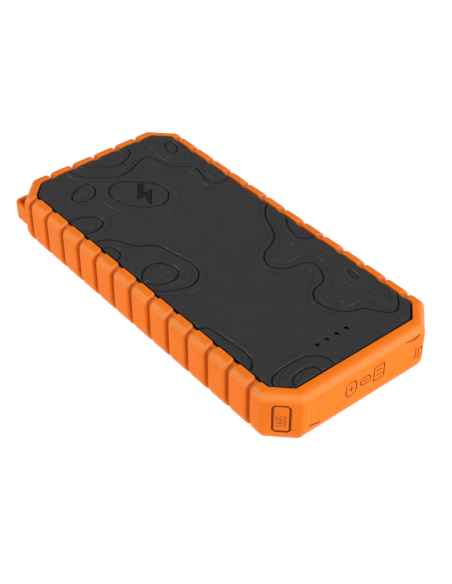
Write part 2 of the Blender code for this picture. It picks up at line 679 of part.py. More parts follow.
def make_board():
    """The main circuit board and what is soldered on it."""
    low = (-BOARD_HALF_WIDTH, BOARD_FRONT, BOARD_BOTTOM)
    high = (BOARD_HALF_WIDTH, BOARD_BACK, BOARD_TOP)
    add_object("main_board", block(low, high), "board_green")
    pipe_low = SOLDERED_BASE + PIPE_END_GAP
    pipe_high = BODY_HEIGHT - COVER_SINK - PIPE_END_GAP
    y = INDICATOR_MIDDLE[1]
    for i, x in enumerate(indicator_places()):
        on_board(f"indicator_led_{i + 1}", (x, y), INDICATOR_CHIP, "led_white")
        profile = ((PIPE_RADIUS, pipe_low), (PIPE_RADIUS, pipe_high))
        pipe = turned(profile, 12, Matrix.Translation((x, y, 0)))
        add_object(f"light_pipe_{i + 1}", pipe, "smoked_clear")
    for i, place in enumerate(INDUCTOR_PLACES):
        on_board(f"inductor_{i + 1}", place, INDUCTOR_SIZE, "ferrite", INDUCTOR_BEVEL)
    on_board("controller_chip", CONTROLLER_PLACE, CONTROLLER_SIZE, "chip_black")
    top = SOLDERED_BASE + CAPACITOR_HEIGHT
    can = (
        (CAPACITOR_RADIUS, SOLDERED_BASE),
        (CAPACITOR_RADIUS, top - CAPACITOR_BEVEL),
        (CAPACITOR_RADIUS - CAPACITOR_BEVEL, top),
    )
    for i, (x, y) in enumerate(CAPACITOR_PLACES):
        made = turned(can, 16, Matrix.Translation((x, y, 0)))
        add_object(f"capacitor_{i + 1}", made, "steel")


def make_battery():
    """Two pouch cells with a foam pad between them, their protection board and leads."""
    width, length, height = CELL_SIZE
    low_y = CELL_MIDDLE_Y - length / 2
    high_y = CELL_MIDDLE_Y + length / 2
    upper = CELL_BOTTOM + height + PAD_THICKNESS + 2 * GAP
    for name, z in (("battery_cell_lower", CELL_BOTTOM), ("battery_cell_upper", upper)):
        cell = block((-width / 2, low_y, z), (width / 2, high_y, z + height), CELL_BEVEL)
        add_object(name, cell, "silver_foil")
    pad_z = CELL_BOTTOM + height + GAP
    pad = block(
        (-width / 2 + PAD_INSET, low_y + PAD_INSET, pad_z),
        (width / 2 - PAD_INSET, high_y - PAD_INSET, pad_z + PAD_THICKNESS),
    )
    add_object("cell_pad", pad, "foam")
    back = low_y - GAP
    front = back - GUARD_THICKNESS
    guard = block((-GUARD_HALF_WIDTH, front, GUARD_BOTTOM), (GUARD_HALF_WIDTH, back, GUARD_TOP))
    add_object("protection_board", guard, "board_green")
    make_lead("lead_positive", LEAD_X, front - GAP, "wire_red")
    make_lead("lead_negative", -LEAD_X, front - GAP, "wire_black")


def make_lead(name, x, start_y, finish):
    """A short insulated lead from the protection board down to the main board."""
    drop = LEAD_START_Z - SOLDERED_BASE - LEAD_RADIUS
    angles = [math.pi / 2 * i / LEAD_STEPS for i in range(LEAD_STEPS + 1)]
    path = [
        (x, start_y - LEAD_REACH * math.sin(a), LEAD_START_Z - drop * (1 - math.cos(a))) for a in angles
    ]
    curve = bpy.data.curves.new(name, "CURVE")
    curve.dimensions = "3D"
    curve.bevel_depth = LEAD_RADIUS
    curve.bevel_resolution = 2
    curve.use_fill_caps = True
    spline = curve.splines.new("POLY")
    spline.points.add(len(path) - 1)
    for point, place in zip(spline.points, path):
        point.co = (*place, 1.0)
    curve.materials.append(material(finish))
    bpy.context.scene.collection.objects.link(bpy.data.objects.new(name, curve))


def make_screws():
    """The four screws that close the shells, driven in from below."""
    for i, (x, y) in enumerate(SCREW_PLACES):
        screw = turned(SCREW_PROFILE, 16, Matrix.Translation((x, y, 0)))
        add_object(f"cover_screw_{i + 1}", screw, "steel")


def main():
    for old in list(bpy.data.objects):
        bpy.data.objects.remove(old)
    make_bumper()
    make_bottom_shell()
    make_port_bezel()
    make_top_cover()
    make_gasket()
    make_port_flap()
    make_button()
    make_torch()
    make_ports()
    make_board()
    make_battery()
    make_screws()


main()
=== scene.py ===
import math

import bmesh
import bpy
import numpy as np
from mathutils import Matrix, Vector


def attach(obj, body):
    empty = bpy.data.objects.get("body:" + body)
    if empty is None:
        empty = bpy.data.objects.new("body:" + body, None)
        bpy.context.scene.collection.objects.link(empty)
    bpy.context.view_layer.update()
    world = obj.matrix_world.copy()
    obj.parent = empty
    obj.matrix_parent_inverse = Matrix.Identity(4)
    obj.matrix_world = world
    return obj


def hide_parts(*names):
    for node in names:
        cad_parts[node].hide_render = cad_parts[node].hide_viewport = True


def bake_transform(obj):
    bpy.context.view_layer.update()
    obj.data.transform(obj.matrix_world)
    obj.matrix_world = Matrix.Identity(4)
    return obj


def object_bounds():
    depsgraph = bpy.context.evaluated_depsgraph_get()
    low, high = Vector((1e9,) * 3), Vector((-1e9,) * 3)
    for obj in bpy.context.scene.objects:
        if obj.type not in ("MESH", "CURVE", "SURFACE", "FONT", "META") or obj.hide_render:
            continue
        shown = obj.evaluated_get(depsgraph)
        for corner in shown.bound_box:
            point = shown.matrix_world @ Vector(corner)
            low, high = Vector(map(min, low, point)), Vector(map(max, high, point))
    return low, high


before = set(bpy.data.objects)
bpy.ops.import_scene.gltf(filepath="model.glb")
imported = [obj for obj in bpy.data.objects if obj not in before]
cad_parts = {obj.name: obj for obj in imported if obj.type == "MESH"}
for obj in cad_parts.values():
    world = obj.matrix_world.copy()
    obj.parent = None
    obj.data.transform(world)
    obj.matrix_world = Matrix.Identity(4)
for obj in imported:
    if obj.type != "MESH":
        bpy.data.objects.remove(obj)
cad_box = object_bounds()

# The looks of a rugged power bank: black relief covers in a ribbed orange rubber bumper, with a
# port flap on a living hinge, a push button, a torch, a carrying loop, sockets and screws.
# Lengths are in millimetres, X across, Y along and Z up; the objects are made in metres.
# A place matrix takes points as (across, inwards, up) on one of the bumper's faces.
MM = 0.001

# The bumper's outside, and the octagonal opening in it that each cover shows through.
WIDTH, LENGTH, HEIGHT = ((cad_box[1][i] - cad_box[0][i]) / MM for i in range(3))
FRONT = -LENGTH / 2
CORNER_CUT = 11.3
OPENING_WIDTH, OPENING_LENGTH, OPENING_CUT = 75.4, 170.3, 7.3
REACH = (WIDTH - OPENING_WIDTH) / 2
INNER_FILLET, OUTER_FILLET = 1.8, 1.6

# Rounded shoulders as (inset at the end, height, power of the curve); a power of 1 is an ellipse.
TOP_ROUND = (4.2, 4.4, 1.0)
FOOT_ROUND = (3.8, 6.8, 1.25)
# The lips over the covers, and the channel behind them that grips the shells.
LIP, LIP_EDGE = 2.4, 0.35
CHANNEL, CHANNEL_EDGE = 1.4, 0.12

# Grooves between the ribs: a flat floor, a steep wall and a shallow rounded shoulder.
GROOVE_DEPTH = 1.5
GROOVE_FLAT = 0.95
GROOVE_WALL = 0.45
GROOVE_ROUND, GROOVE_ROUND_DEPTH = 0.8, 0.30
SIDE_GROOVES = [1.5 + 12.33 * k for k in range(-6, 7)]
BACK_GROOVES = [11.85 * k for k in range(-2, 3)]
# At a lip a groove has this share of its depth; the rest comes over a zone, as (start, length).
LIP_BITE, LIP_BITE_ZONE = 0.75, (0.6, 2.0)
# How much a groove widens there, how far from the opening, and how far from the middle height.
FLARE, FLARE_REACH, FLARE_POWER, FLARE_FROM = 0.6, 2.0, 1.5, 9.5

# The covers' edge against the opening's, and their outer faces.
COVER_EDGE = -0.85
COVER_SINK = 0.4
COVER_TOP = HEIGHT - COVER_SINK
COVER_BOTTOM = COVER_SINK
PLATE_THICKNESS, PLATE_OVERLAP = 1.2, 0.3
INDICATORS = [(-0.4 + 5.08 * (i - 1.5), -72.2) for i in range(4)]
SCREWS = ((-32.5, -60.0), (32.5, -60.0), (-29.0, 79.2), (29.0, 79.2))

# Heights of the middles of the corner fittings, the ports and the carrying loop.
FITTING_Z = 12.5
PORT_Z = 12.35
LOOP_Z = 12.25

# Port flap. Right of its heel it has its full height, and left of it, it stands clear of the slit
# under the hinge web. At its hinge it ends in a round knuckle.
SEAM = 0.07
SEAT_Y = -88.0
FLAP_X, FLAP_Z = (-23.6, 24.3), (3.6, 20.6)
HEEL_X, HEEL_Z, HEEL_DROP = -22.9, (7.9, 20.2), 0.8
HINGE_X, HINGE_Y, KNUCKLE = -25.2, -89.45, 0.65
WEB_X, WEB_TOP = (-28.7, -23.4), 20.3
WEB_RIBS, WEB_RIB_HEIGHT, WEB_RIB_WIDTH = (-27.6, -26.2, -24.8), 0.04, 0.42


# ---- mesh tools

WELD = 0.002
NORMAL_WEIGHT = 70
COVER_ANGLE = 50.0
# The least step or radius that an outline takes, and how far a cutter stands out of its face.
SLIVER = 0.02
OVERSHOOT = 3.0
RIM_STEPS = 4
END_STEPS = 6
# An engraved stroke: its floor's share of its width, its bevel's width and ends, and its cutter's top.
STROKE_FLOOR, STROKE_BEVEL, STROKE_BEVEL_ENDS, STROKE_TOP = 0.55, 0.16, (0.06, -0.08), -1.5


def ease(t):
    """Smooth step from 0 to 1."""
    t = np.clip(t, 0, 1)
    return t * t * (3 - 2 * t)


def to_object(name, bm, smooth=35.0):
    """A scene object from a bmesh in millimetres, shaded smooth up to an angle."""
    bmesh.ops.recalc_face_normals(bm, faces=bm.faces)
    bmesh.ops.scale(bm, verts=bm.verts, vec=(MM, MM, MM))
    mesh = bpy.data.meshes.new(name)
    bm.to_mesh(mesh)
    bm.free()
    made = bpy.data.objects.new(name, mesh)
    bpy.context.scene.collection.objects.link(made)
    shade(made, smooth)
    return made


def shade(obj, angle):
    """Smooth shading, with sharp edges above an angle in degrees."""
    obj.data.shade_smooth()
    obj.data.set_sharp_from_angle(angle=math.radians(angle))


def settle(obj):
    """Turns an object's modifiers into its mesh."""
    graph = bpy.context.evaluated_depsgraph_get()
    baked = bpy.data.meshes.new_from_object(obj.evaluated_get(graph))
    obj.modifiers.clear()
    old = obj.data
    obj.data = baked
    baked.name = obj.name
    bpy.data.meshes.remove(old)


def combine(target, solids, operation="DIFFERENCE"):
    """Cuts solids, each a bmesh or an object, out of the target, or joins them on."""
    for solid in solids:
        tool = solid if isinstance(solid, bpy.types.Object) else to_object("tool", solid)
        modifier = target.modifiers.new("combine", "BOOLEAN")
        modifier.operation = operation
        modifier.solver = "MANIFOLD"
        modifier.object = tool
        settle(target)
        bpy.data.objects.remove(tool)


def finish_mesh(obj, angle=40.0):
    """Clean shading after booleans: broad faces keep their own normals."""
    bm = bmesh.new()
    bm.from_mesh(obj.data)
    bmesh.ops.remove_doubles(bm, verts=bm.verts, dist=WELD * MM)
    bmesh.ops.dissolve_degenerate(bm, edges=bm.edges, dist=WELD * MM)
    bm.to_mesh(obj.data)
    bm.free()
    shade(obj, angle)
    weighted = obj.modifiers.new("weighted", "WEIGHTED_NORMAL")
    weighted.keep_sharp = True
    weighted.weight = NORMAL_WEIGHT
    settle(obj)


def bridge(bm, one, two):
    """A band of faces between two rings of vertices."""
    for i in range(len(one)):
        j = (i + 1) % len(one)
        bm.faces.new((one[i], one[j], two[j], two[i]))


def skin(rings, closed=False):
    """A bmesh through rings of points: capped at both ends, or closed on itself."""
    bm = bmesh.new()
    rows = [[bm.verts.new(point) for point in ring] for ring in rings]
    pairs = list(zip(rows, rows[1:]))
    if closed:
        pairs.append((rows[-1], rows[0]))
    else:
        bm.faces.new(reversed(rows[0]))
        bm.faces.new(rows[-1])
    for low, high in pairs:
        bridge(bm, low, high)
    return bm


def turned(profile, segments, turn):
    """A solid of revolution about Z from (radius, height) pairs, capped and then turned."""
    steps = [2 * math.pi * i / segments for i in range(segments)]
    bm = skin([[(r * math.cos(a), r * math.sin(a), z) for a in steps] for r, z in profile])
    bmesh.ops.transform(bm, verts=bm.verts, matrix=turn)
    return bm


def rounded(width, height, radius, steps=6):
    """A rectangle with round corners about the origin, as (across, up) pairs."""
    points = []
    radius = max(radius, SLIVER)
    for quarter, (sx, sy) in enumerate(((1, 1), (-1, 1), (-1, -1), (1, -1))):
        for step in range(steps + 1):
            angle = math.pi / 2 * (quarter + step / steps)
            x = sx * (width / 2 - radius) + radius * math.cos(angle)
            points.append((x, sy * (height / 2 - radius) + radius * math.sin(angle)))
    return points


def pad(width, height, radius, stages, place, steps=6):
    """A rounded block through (inset, depth) stages; place takes (across, depth, up) points."""
    rings = []
    for inset, depth in stages:
        outline = rounded(width - 2 * inset, height - 2 * inset, radius - inset, steps)
        rings.append([place @ Vector((a, depth, b)) for a, b in outline])
    return skin(rings)


def rim_stages(back, radius):
    """(inset, depth) stages of a hole, from its back to a softly rounded mouth at the face."""
    stages = [(0.0, back)]
    for step in range(RIM_STEPS + 1):
        angle = math.pi / 2 * step / RIM_STEPS
        stages.append((-radius * (1 - math.cos(angle)), radius * (1 - math.sin(angle))))
    stages.append((-radius - SLIVER, -OVERSHOOT))
    return stages


def ribbon(path, width, closed=False):
    """The left and right lines of a stroke along a path of (across, up) points."""
    count = len(path)
    left, right = [], []
    for i, (x, y) in enumerate(path):
        before = path[i - 1] if i or closed else path[i]
        after = path[(i + 1) % count] if i < count - 1 or closed else path[i]
        dx, dy = after[0] - before[0], after[1] - before[1]
        size = math.hypot(dx, dy) or 1.0
        nx, ny = -dy / size * width / 2, dx / size * width / 2
        left.append((x + nx, y + ny))
        right.append((x - nx, y - ny))
    return left, right


def engraving(path, width, depth, place, closed=False):
    """A cutter for one engraved stroke, with a small bevel along its mouth."""
    mouth = width + STROKE_BEVEL
    low, high = STROKE_BEVEL_ENDS
    levels = ((width * STROKE_FLOOR, depth), (width, low), (mouth, high), (mouth, STROKE_TOP))
    if closed:
        return closed_stroke(path, levels, place)
    rings = []
    for w, d in levels:
        left, right = ribbon(path, w)
        ends = []
        for centre, start in ((path[-1], left[-1]), (path[0], right[0])):
            first = math.atan2(start[1] - centre[1], start[0] - centre[0])
            angles = [first - math.pi * k / END_STEPS for k in range(1, END_STEPS)]
            ends.append([(centre[0] + w / 2 * math.cos(a), centre[1] + w / 2 * math.sin(a)) for a in angles])
        outline = left + ends[0] + right[::-1] + ends[1]
        rings.append([place @ Vector((a, d, b)) for a, b in outline])
    return skin(rings)


def closed_stroke(path, levels, place):
    """The cutter of a stroke that runs back into itself, from (width, depth) levels."""
    bm = bmesh.new()
    sides = [[], []]
    for w, d in levels:
        for side, line in zip(sides, ribbon(path, w, True)):
            side.append([bm.verts.new(place @ Vector((a, d, b))) for a, b in line])
    rings = sides[0] + sides[1][::-1]
    for one, two in zip(rings, rings[1:] + rings[:1]):
        bridge(bm, one, two)
    return bm


# ---- materials

# Sizes in mm of the patches in a finish: two of colour, one of dust and one of roughness.
BROAD_PATCH, FINE_PATCH, DUST_PATCH, ROUGHNESS_PATCH = 9.0, 0.9, 2.2, 3.0
FINE_SHARE, FINE_DARKENING = 0.35, 1.2
# Stretches of a texture's or a slope's value over which an effect sets in.
NOISE_SPAN = (0.3, 0.7)
DUST_SPAN = (0.52, 0.75)
# Normal slopes over which the painted highlight on the upper shoulders sets in and fades out.
SHOULDER_HIGHLIGHT_SPAN, SHOULDER_HIGHLIGHT_END_SPAN = (0.05, 0.60), (0.72, 0.97)
# Occlusion values over which the painted shade in hollows and the lighter edges (a painted highlight, worn
# metal on the screws) set in.
PAINTED_SHADE_SPAN, EDGE_WEAR_AND_HIGHLIGHT_SPAN = (0.62, 0.97), (0.55, 0.92)
OCCLUSION_SAMPLES = 8
# A second, coarser layer of grain, as its size and height against the first.
COARSE_GRAIN = (3.1, 1.4)
STREAK_STRETCH = 0.04


def fill(node, **inputs):
    """Sets or links a node's inputs, each named with underscores for its spaces."""
    for name, value in inputs.items():
        socket = node.inputs[name.replace("_", " ")]
        if isinstance(value, bpy.types.NodeSocket):
            node.id_data.links.new(value, socket)
        else:
            socket.default_value = value
    return node


def material(name, colour, roughness, metallic=0.0, grain=None, mottle=0.06, rough_spread=0.08,
             specular=0.5, coat=0.0, transmission=0.0, edge_wear_and_highlight=None, streak=None, dust=None, painted_shade=None,
             painted_shoulder_highlight=None):
    """A moulded, metal or coated finish: mottled colour, uneven roughness and fine grain.

    grain is (size in mm, bump height in mm). wear is (colour, amount, reach in mm) on edges that
    stand out: a painted highlight on rubber and plastic, worn metal on the screws. recess is
    (colour, amount, reach in mm): painted shade that darkens grooves, corners and hollows and dims
    their reflection. streak is (size in mm, bump height in mm, axis) for brushed or drawn surfaces.
    dust is (colour, amount). rub is (colour, amount): a painted highlight on the slopes round the
    top that face upwards.
    """
    made = bpy.data.materials.new(name)
    made.use_nodes = True
    nodes = made.node_tree.nodes
    shader = nodes["Principled BSDF"]
    coordinates = nodes.new("ShaderNodeTexCoord")
    place = coordinates.outputs["Object"]

    def noise(size, detail, rough=0.5, vector=place):
        node = nodes.new("ShaderNodeTexNoise")
        fill(node, Scale=1.0 / (size * MM), Detail=detail, Roughness=rough, Vector=vector)
        return node.outputs["Fac"]

    def ranged(value, low, high, span=NOISE_SPAN, shape="LINEAR"):
        node = nodes.new("ShaderNodeMapRange")
        node.interpolation_type = shape
        fill(node, Value=value, From_Min=span[0], From_Max=span[1], To_Min=low, To_Max=high)
        return node.outputs["Result"]

    def mixed(share, one, two):
        """Two colours, each a tuple or a node's output, mixed by an output."""
        node = nodes.new("ShaderNodeMix")
        node.data_type = "RGBA"
        fill(node, Factor=share)
        for socket, colour in zip(node.inputs[6:8], (one, two)):
            if isinstance(colour, tuple):
                socket.default_value = (*colour, 1.0)
            else:
                made.node_tree.links.new(colour, socket)
        return node.outputs[2]

    dark = tuple(c * (1 - mottle) for c in colour)
    light = tuple(min(1.0, c * (1 + mottle)) for c in colour)
    specks = tuple(c * (1 - FINE_DARKENING * mottle) for c in colour)
    shown = mixed(ranged(noise(BROAD_PATCH, 4.0), 0.0, 1.0), dark, light)
    shown = mixed(ranged(noise(FINE_PATCH, 2.0), 0.0, FINE_SHARE), shown, specks)
    if dust:
        shown = mixed(ranged(noise(DUST_PATCH, 5.0, 0.65), 0.0, dust[1], DUST_SPAN), shown, dust[0])
    # Painted highlight: a lighter colour on the shoulder slopes that face upwards.
    if painted_shoulder_highlight:
        split = fill(nodes.new("ShaderNodeSeparateXYZ"), Vector=coordinates.outputs["Normal"])
        slope = split.outputs["Z"]
        both = nodes.new("ShaderNodeMath")
        both.operation = "MULTIPLY"
        made.node_tree.links.new(ranged(slope, 0.0, painted_shoulder_highlight[1], SHOULDER_HIGHLIGHT_SPAN, "SMOOTHSTEP"), both.inputs[0])
        made.node_tree.links.new(ranged(slope, 1.0, 0.0, SHOULDER_HIGHLIGHT_END_SPAN, "SMOOTHSTEP"), both.inputs[1])
        shown = mixed(both.outputs["Value"], shown, painted_shoulder_highlight[0])
    fill(shader, Specular_IOR_Level=specular)
    # Occlusion-driven colour: painted shade darkens hollows and dims their reflection, and standing-out
    # edges get a lighter colour, a painted highlight (worn metal on the screws).
    for finish, inner, span in ((painted_shade, False, PAINTED_SHADE_SPAN), (edge_wear_and_highlight, True, EDGE_WEAR_AND_HIGHLIGHT_SPAN)):
        if finish:
            ambient = nodes.new("ShaderNodeAmbientOcclusion")
            ambient.inside = inner
            ambient.samples = OCCLUSION_SAMPLES
            openness = fill(ambient, Distance=finish[2] * MM).outputs["AO"]
            shown = mixed(ranged(openness, finish[1], 0.0, span), shown, finish[0])
            if not inner:
                fill(shader, Specular_IOR_Level=ranged(openness, 0.0, specular, span))
    rough = ranged(noise(ROUGHNESS_PATCH, 4.0), roughness - rough_spread, roughness + rough_spread)
    fill(shader, Base_Color=shown, Roughness=rough, Metallic=metallic, Coat_Weight=coat,
         Transmission_Weight=transmission)
    layers = []
    if grain:
        size, height = grain
        layers.append((noise(size, 2.0, 0.6), height))
        layers.append((noise(size * COARSE_GRAIN[0], 2.0), height * COARSE_GRAIN[1]))
    if streak:
        size, height, axis = streak
        stretch = fill(nodes.new("ShaderNodeMapping"), Vector=place)
        stretch.inputs["Scale"].default_value[axis] = STREAK_STRETCH
        layers.append((noise(size, 2.0, 0.6, stretch.outputs["Vector"]), height))
    bumped = shader
    for value, height in layers[::-1]:
        bump = nodes.new("ShaderNodeBump")
        fill(bump, Strength=1.0, Distance=height * MM, Height=value)
        fill(bumped, Normal=bump.outputs["Normal"])
        bumped = bump
    return made


LOOKS = {
    "bumper_orange": dict(
        colour=(0.93, 0.196, 0.012), roughness=0.36, specular=0.04, mottle=0.035, grain=(0.16, 0.005),
        # Lighter colour on standing-out edges is a painted highlight.
        dust=((0.92, 0.24, 0.04), 0.08), edge_wear_and_highlight=((1.0, 0.36, 0.11), 0.45, 0.3),
        # Darker colour in grooves and hollows is painted shade; the lighter upper shoulders are a painted
        # highlight.
        painted_shade=((0.43, 0.088, 0.014), 0.95, 2.0), painted_shoulder_highlight=((0.98, 0.36, 0.12), 0.48),
    ),
    "cover_black": dict(
        colour=(0.027, 0.027, 0.0285), roughness=0.48, specular=0.42, grain=(0.20, 0.008),
        # Lighter colour on the relief's standing-out edges is a painted highlight.
        dust=((0.045, 0.044, 0.043), 0.12), edge_wear_and_highlight=((0.07, 0.07, 0.07), 0.4, 0.45),
        # Near black in hollows and along the plate's rim is painted shade.
        painted_shade=((0.002, 0.002, 0.002), 1.0, 1.0),
    ),
    "mark_black": dict(colour=(0.008, 0.008, 0.009), roughness=0.48, specular=0.25, grain=(0.12, 0.004)),
    "gasket_black": dict(colour=(0.016, 0.016, 0.016), roughness=0.75, grain=(0.3, 0.01)),
    "cell_foil": dict(
        colour=(0.60, 0.61, 0.63), roughness=0.38, metallic=0.75, grain=(0.8, 0.02), streak=(0.8, 0.01, 1),
    ),
    "foam_white": dict(colour=(0.82, 0.80, 0.74), roughness=0.92, grain=(0.35, 0.05)),
    "board_green": dict(
        colour=(0.018, 0.13, 0.045), roughness=0.38, mottle=0.2, coat=0.4, grain=(0.4, 0.004),
        streak=(0.5, 0.006, 0),
    ),
    "chip_black": dict(colour=(0.022, 0.022, 0.024), roughness=0.55, grain=(0.12, 0.006)),
    "ferrite_grey": dict(colour=(0.085, 0.085, 0.09), roughness=0.72, grain=(0.15, 0.012)),
    "can_steel": dict(colour=(0.66, 0.66, 0.68), roughness=0.30, metallic=1.0, streak=(0.3, 0.003, 2)),
    "wire_red": dict(colour=(0.62, 0.02, 0.012), roughness=0.42, grain=(0.5, 0.006)),
    "wire_black": dict(colour=(0.018, 0.018, 0.018), roughness=0.42, grain=(0.5, 0.006)),
    "lens_clear": dict(
        colour=(0.93, 0.95, 0.97), roughness=0.06, rough_spread=0.03, transmission=1.0, mottle=0.01,
        grain=(1.2, 0.002),
    ),
    "reflector_bright": dict(
        colour=(0.86, 0.86, 0.88), roughness=0.12, rough_spread=0.05, metallic=1.0, mottle=0.02,
        grain=(0.9, 0.006),
    ),
    "led_yellow": dict(colour=(0.93, 0.72, 0.12), roughness=0.35, grain=(0.2, 0.004)),
    "led_white": dict(colour=(0.86, 0.86, 0.80), roughness=0.35, grain=(0.2, 0.004)),
    "smoked_clear": dict(colour=(0.020, 0.020, 0.022), roughness=0.16, coat=0.5, grain=(0.6, 0.002)),
    "port_steel": dict(
        colour=(0.62, 0.62, 0.64), roughness=0.28, metallic=1.0, mottle=0.04, grain=(0.3, 0.003),
        streak=(0.25, 0.004, 0),
    ),
    "screw_steel": dict(
        colour=(0.42, 0.42, 0.44), roughness=0.34, metallic=1.0, grain=(0.2, 0.004),
        edge_wear_and_highlight=((0.75, 0.75, 0.77), 0.6, 0.4),
    ),
    "contact_gold": dict(colour=(0.86, 0.60, 0.22), roughness=0.26, metallic=1.0, grain=(0.2, 0.002)),
}
FINISHES = {name: material(name, **look) for name, look in LOOKS.items()}


def dress(obj, finish, body, *nodes, slot=None):
    """Gives a piece its material and body, and hides the CAD nodes that it stands for."""
    obj.data.materials.clear()
    obj.data.materials.append(FINISHES[finish])
    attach(obj, body)
    if nodes:
        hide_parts(*nodes)


# ---- bumper

def octagon(width, length, cut):
    """Corners of a rectangle with cut corners, anticlockwise from the front side's left."""
    x, y = width / 2, length / 2
    quarter = ((x - cut, -y), (x, cut - y), (x, y - cut), (x - cut, y))
    return [(cut - x, -y), *quarter, (cut - x, y), (-x, y - cut), (-x, cut - y)]


def corner_arc(points, index, radius, steps):
    """The fillet at one corner of an outline, as points."""
    corner = Vector(points[index])
    before = (Vector(points[index - 1]) - corner).normalized()
    after = (Vector(points[(index + 1) % len(points)]) - corner).normalized()
    half = before.angle(after) / 2
    centre = corner + (before + after).normalized() * radius / math.sin(half)
    start = corner + before * radius / math.tan(half) - centre
    end = corner + after * radius / math.tan(half) - centre
    sweep = start.angle_signed(end)
    return [tuple(centre + Matrix.Rotation(-sweep * k / steps, 2) @ start) for k in range(steps + 1)]


INNER = octagon(OPENING_WIDTH, OPENING_LENGTH, OPENING_CUT)
OUTER = octagon(WIDTH, LENGTH, CORNER_CUT)
# The side that follows each corner, for the corners that a long or an end side follows.
SIDES = {0: "front", 2: "right", 4: "back", 6: "left"}
CORNER_STEPS = 8
TOP_STEPS, FOOT_STEPS = 18, 14


def shoulder(rounding, steps):
    """(inset, drop) pairs down a rounded shoulder of (inset, drop, power)."""
    inset, drop, power = rounding
    for k in range(steps + 1):
        angle = math.pi / 2 * k / steps
        yield (inset * (1 - math.sin(angle) ** power), drop * (1 - max(math.cos(angle), 0.0) ** power))


def face_inset(z):
    """How far the bumper's outer face stands inside its fullest line, at height z."""
    (inset, drop, power), over = TOP_ROUND, z - HEIGHT + TOP_ROUND[1]
    if z < HEIGHT / 2:
        (inset, drop, power), over = FOOT_ROUND, FOOT_ROUND[1] - z
    if over <= 0:
        return 0.0
    angle = math.acos(min(1.0, over / drop) ** (1 / power))
    return inset * (1 - math.sin(angle) ** power)


def bumper_profile():
    """The section as rows of (distance, height, push distance, push height).

    The push is how far a groove moves the row, for each millimetre of the groove's depth.
    """
    upper = [(REACH - i, HEIGHT - d) for i, d in shoulder(TOP_ROUND, TOP_STEPS)]
    lower = [(REACH - i, d) for i, d in shoulder(FOOT_ROUND, FOOT_STEPS)][::-1]
    rows = []

    def wall(d, z, push):
        rows.append((d, z, 0.0, -push if z > HEIGHT / 2 else push))

    arc = [(LIP_EDGE * (1 - math.cos(a)), LIP_EDGE * (1 - math.sin(a)))
           for a in np.linspace(0, math.pi / 2, 5)]
    for drop, push in ((LIP - 0.1, 0.0), (1.4, 0.55), (0.8, 0.85)):
        wall(0.0, HEIGHT - drop, push)
    for d, drop in arc:
        wall(d, HEIGHT - drop, 1.0)
    wall(2 * LIP_EDGE, HEIGHT, 1.0)
    line = upper + [(REACH, z) for z in (17.0, 14.0, 11.0, 9.0)] + lower
    for i, (d, z) in enumerate(line):
        a, b = line[max(i - 1, 0)], line[min(i + 1, len(line) - 1)]
        across, up = Vector((b[1] - a[1], a[0] - b[0])).normalized()
        if i in (0, len(line) - 1):
            across, up = 0, 1 if i else -1
        rows.append((d, z, -abs(across), up))
    wall(0.9, 0.0, 1.0)
    for d, rise in arc[::-1]:
        wall(d, rise, 1.0)
    wall(0.0, LIP / 2, 0.5)
    wall(0.0, LIP - 0.1, 0.0)
    near, far = CHANNEL_EDGE, CHANNEL - CHANNEL_EDGE
    for d, z in ((near, LIP), (far, LIP), (CHANNEL, LIP + near), (CHANNEL, HEIGHT / 2),
                 (CHANNEL, HEIGHT - LIP - near), (far, HEIGHT - LIP), (near, HEIGHT - LIP)):
        rows.append((d, z, 0.0, 0.0))
    return np.array(rows)


# Distances from a groove's middle at which the bumper gets a section.
HALF_PLACES = (3.6, 2.9, 2.5, 2.2, 1.95, 1.7, 1.5, 1.35, 1.22, 1.1, 0.98, 0.85, 0.5)
GROOVE_PLACES = [-u for u in HALF_PLACES] + [0.0] + list(HALF_PLACES[::-1])
FRONT_PITCH = 1.0


def bumper_stations():
    """(inner point, outer point, offset from a groove's middle or None) all round the bumper."""
    inner = [corner_arc(INNER, i, INNER_FILLET, CORNER_STEPS) for i in range(8)]
    outer = [corner_arc(OUTER, i, OUTER_FILLET, CORNER_STEPS) for i in range(8)]
    stations = []
    for i in range(8):
        stations += [(a, b, None) for a, b in zip(inner[i], outer[i])]
        side = SIDES.get(i)
        if side in ("right", "left"):
            sign = 1 if side == "right" else -1
            end = abs(inner[i][-1][1]) - 0.05
            for y, u in ((y, u) for y in SIDE_GROOVES[::sign] for u in GROOVE_PLACES):
                at = y + sign * u
                if abs(at) < end:
                    stations.append(((sign * OPENING_WIDTH / 2, at), (sign * WIDTH / 2, at), u))
        elif side == "back":
            for x, u in ((x, u) for x in BACK_GROOVES[::-1] for u in GROOVE_PLACES):
                stations.append(((x - u, OPENING_LENGTH / 2), (x - u, LENGTH / 2), u))
        elif side == "front":
            for x in np.arange(math.ceil(inner[0][-1][0]), inner[1][0][0], FRONT_PITCH):
                stations.append(((x, -OPENING_LENGTH / 2), (x, -LENGTH / 2), None))
    return stations


def groove_depth(off):
    """Depth of a groove at a distance from its middle: flat floor, steep wall, round shoulder."""
    edge = GROOVE_FLAT + GROOVE_WALL
    wall = ease((edge - off) / GROOVE_WALL) * (GROOVE_DEPTH - GROOVE_ROUND_DEPTH)
    return wall + GROOVE_ROUND_DEPTH * (1 - np.clip((off - edge) / GROOVE_ROUND, 0, 1)) ** 2


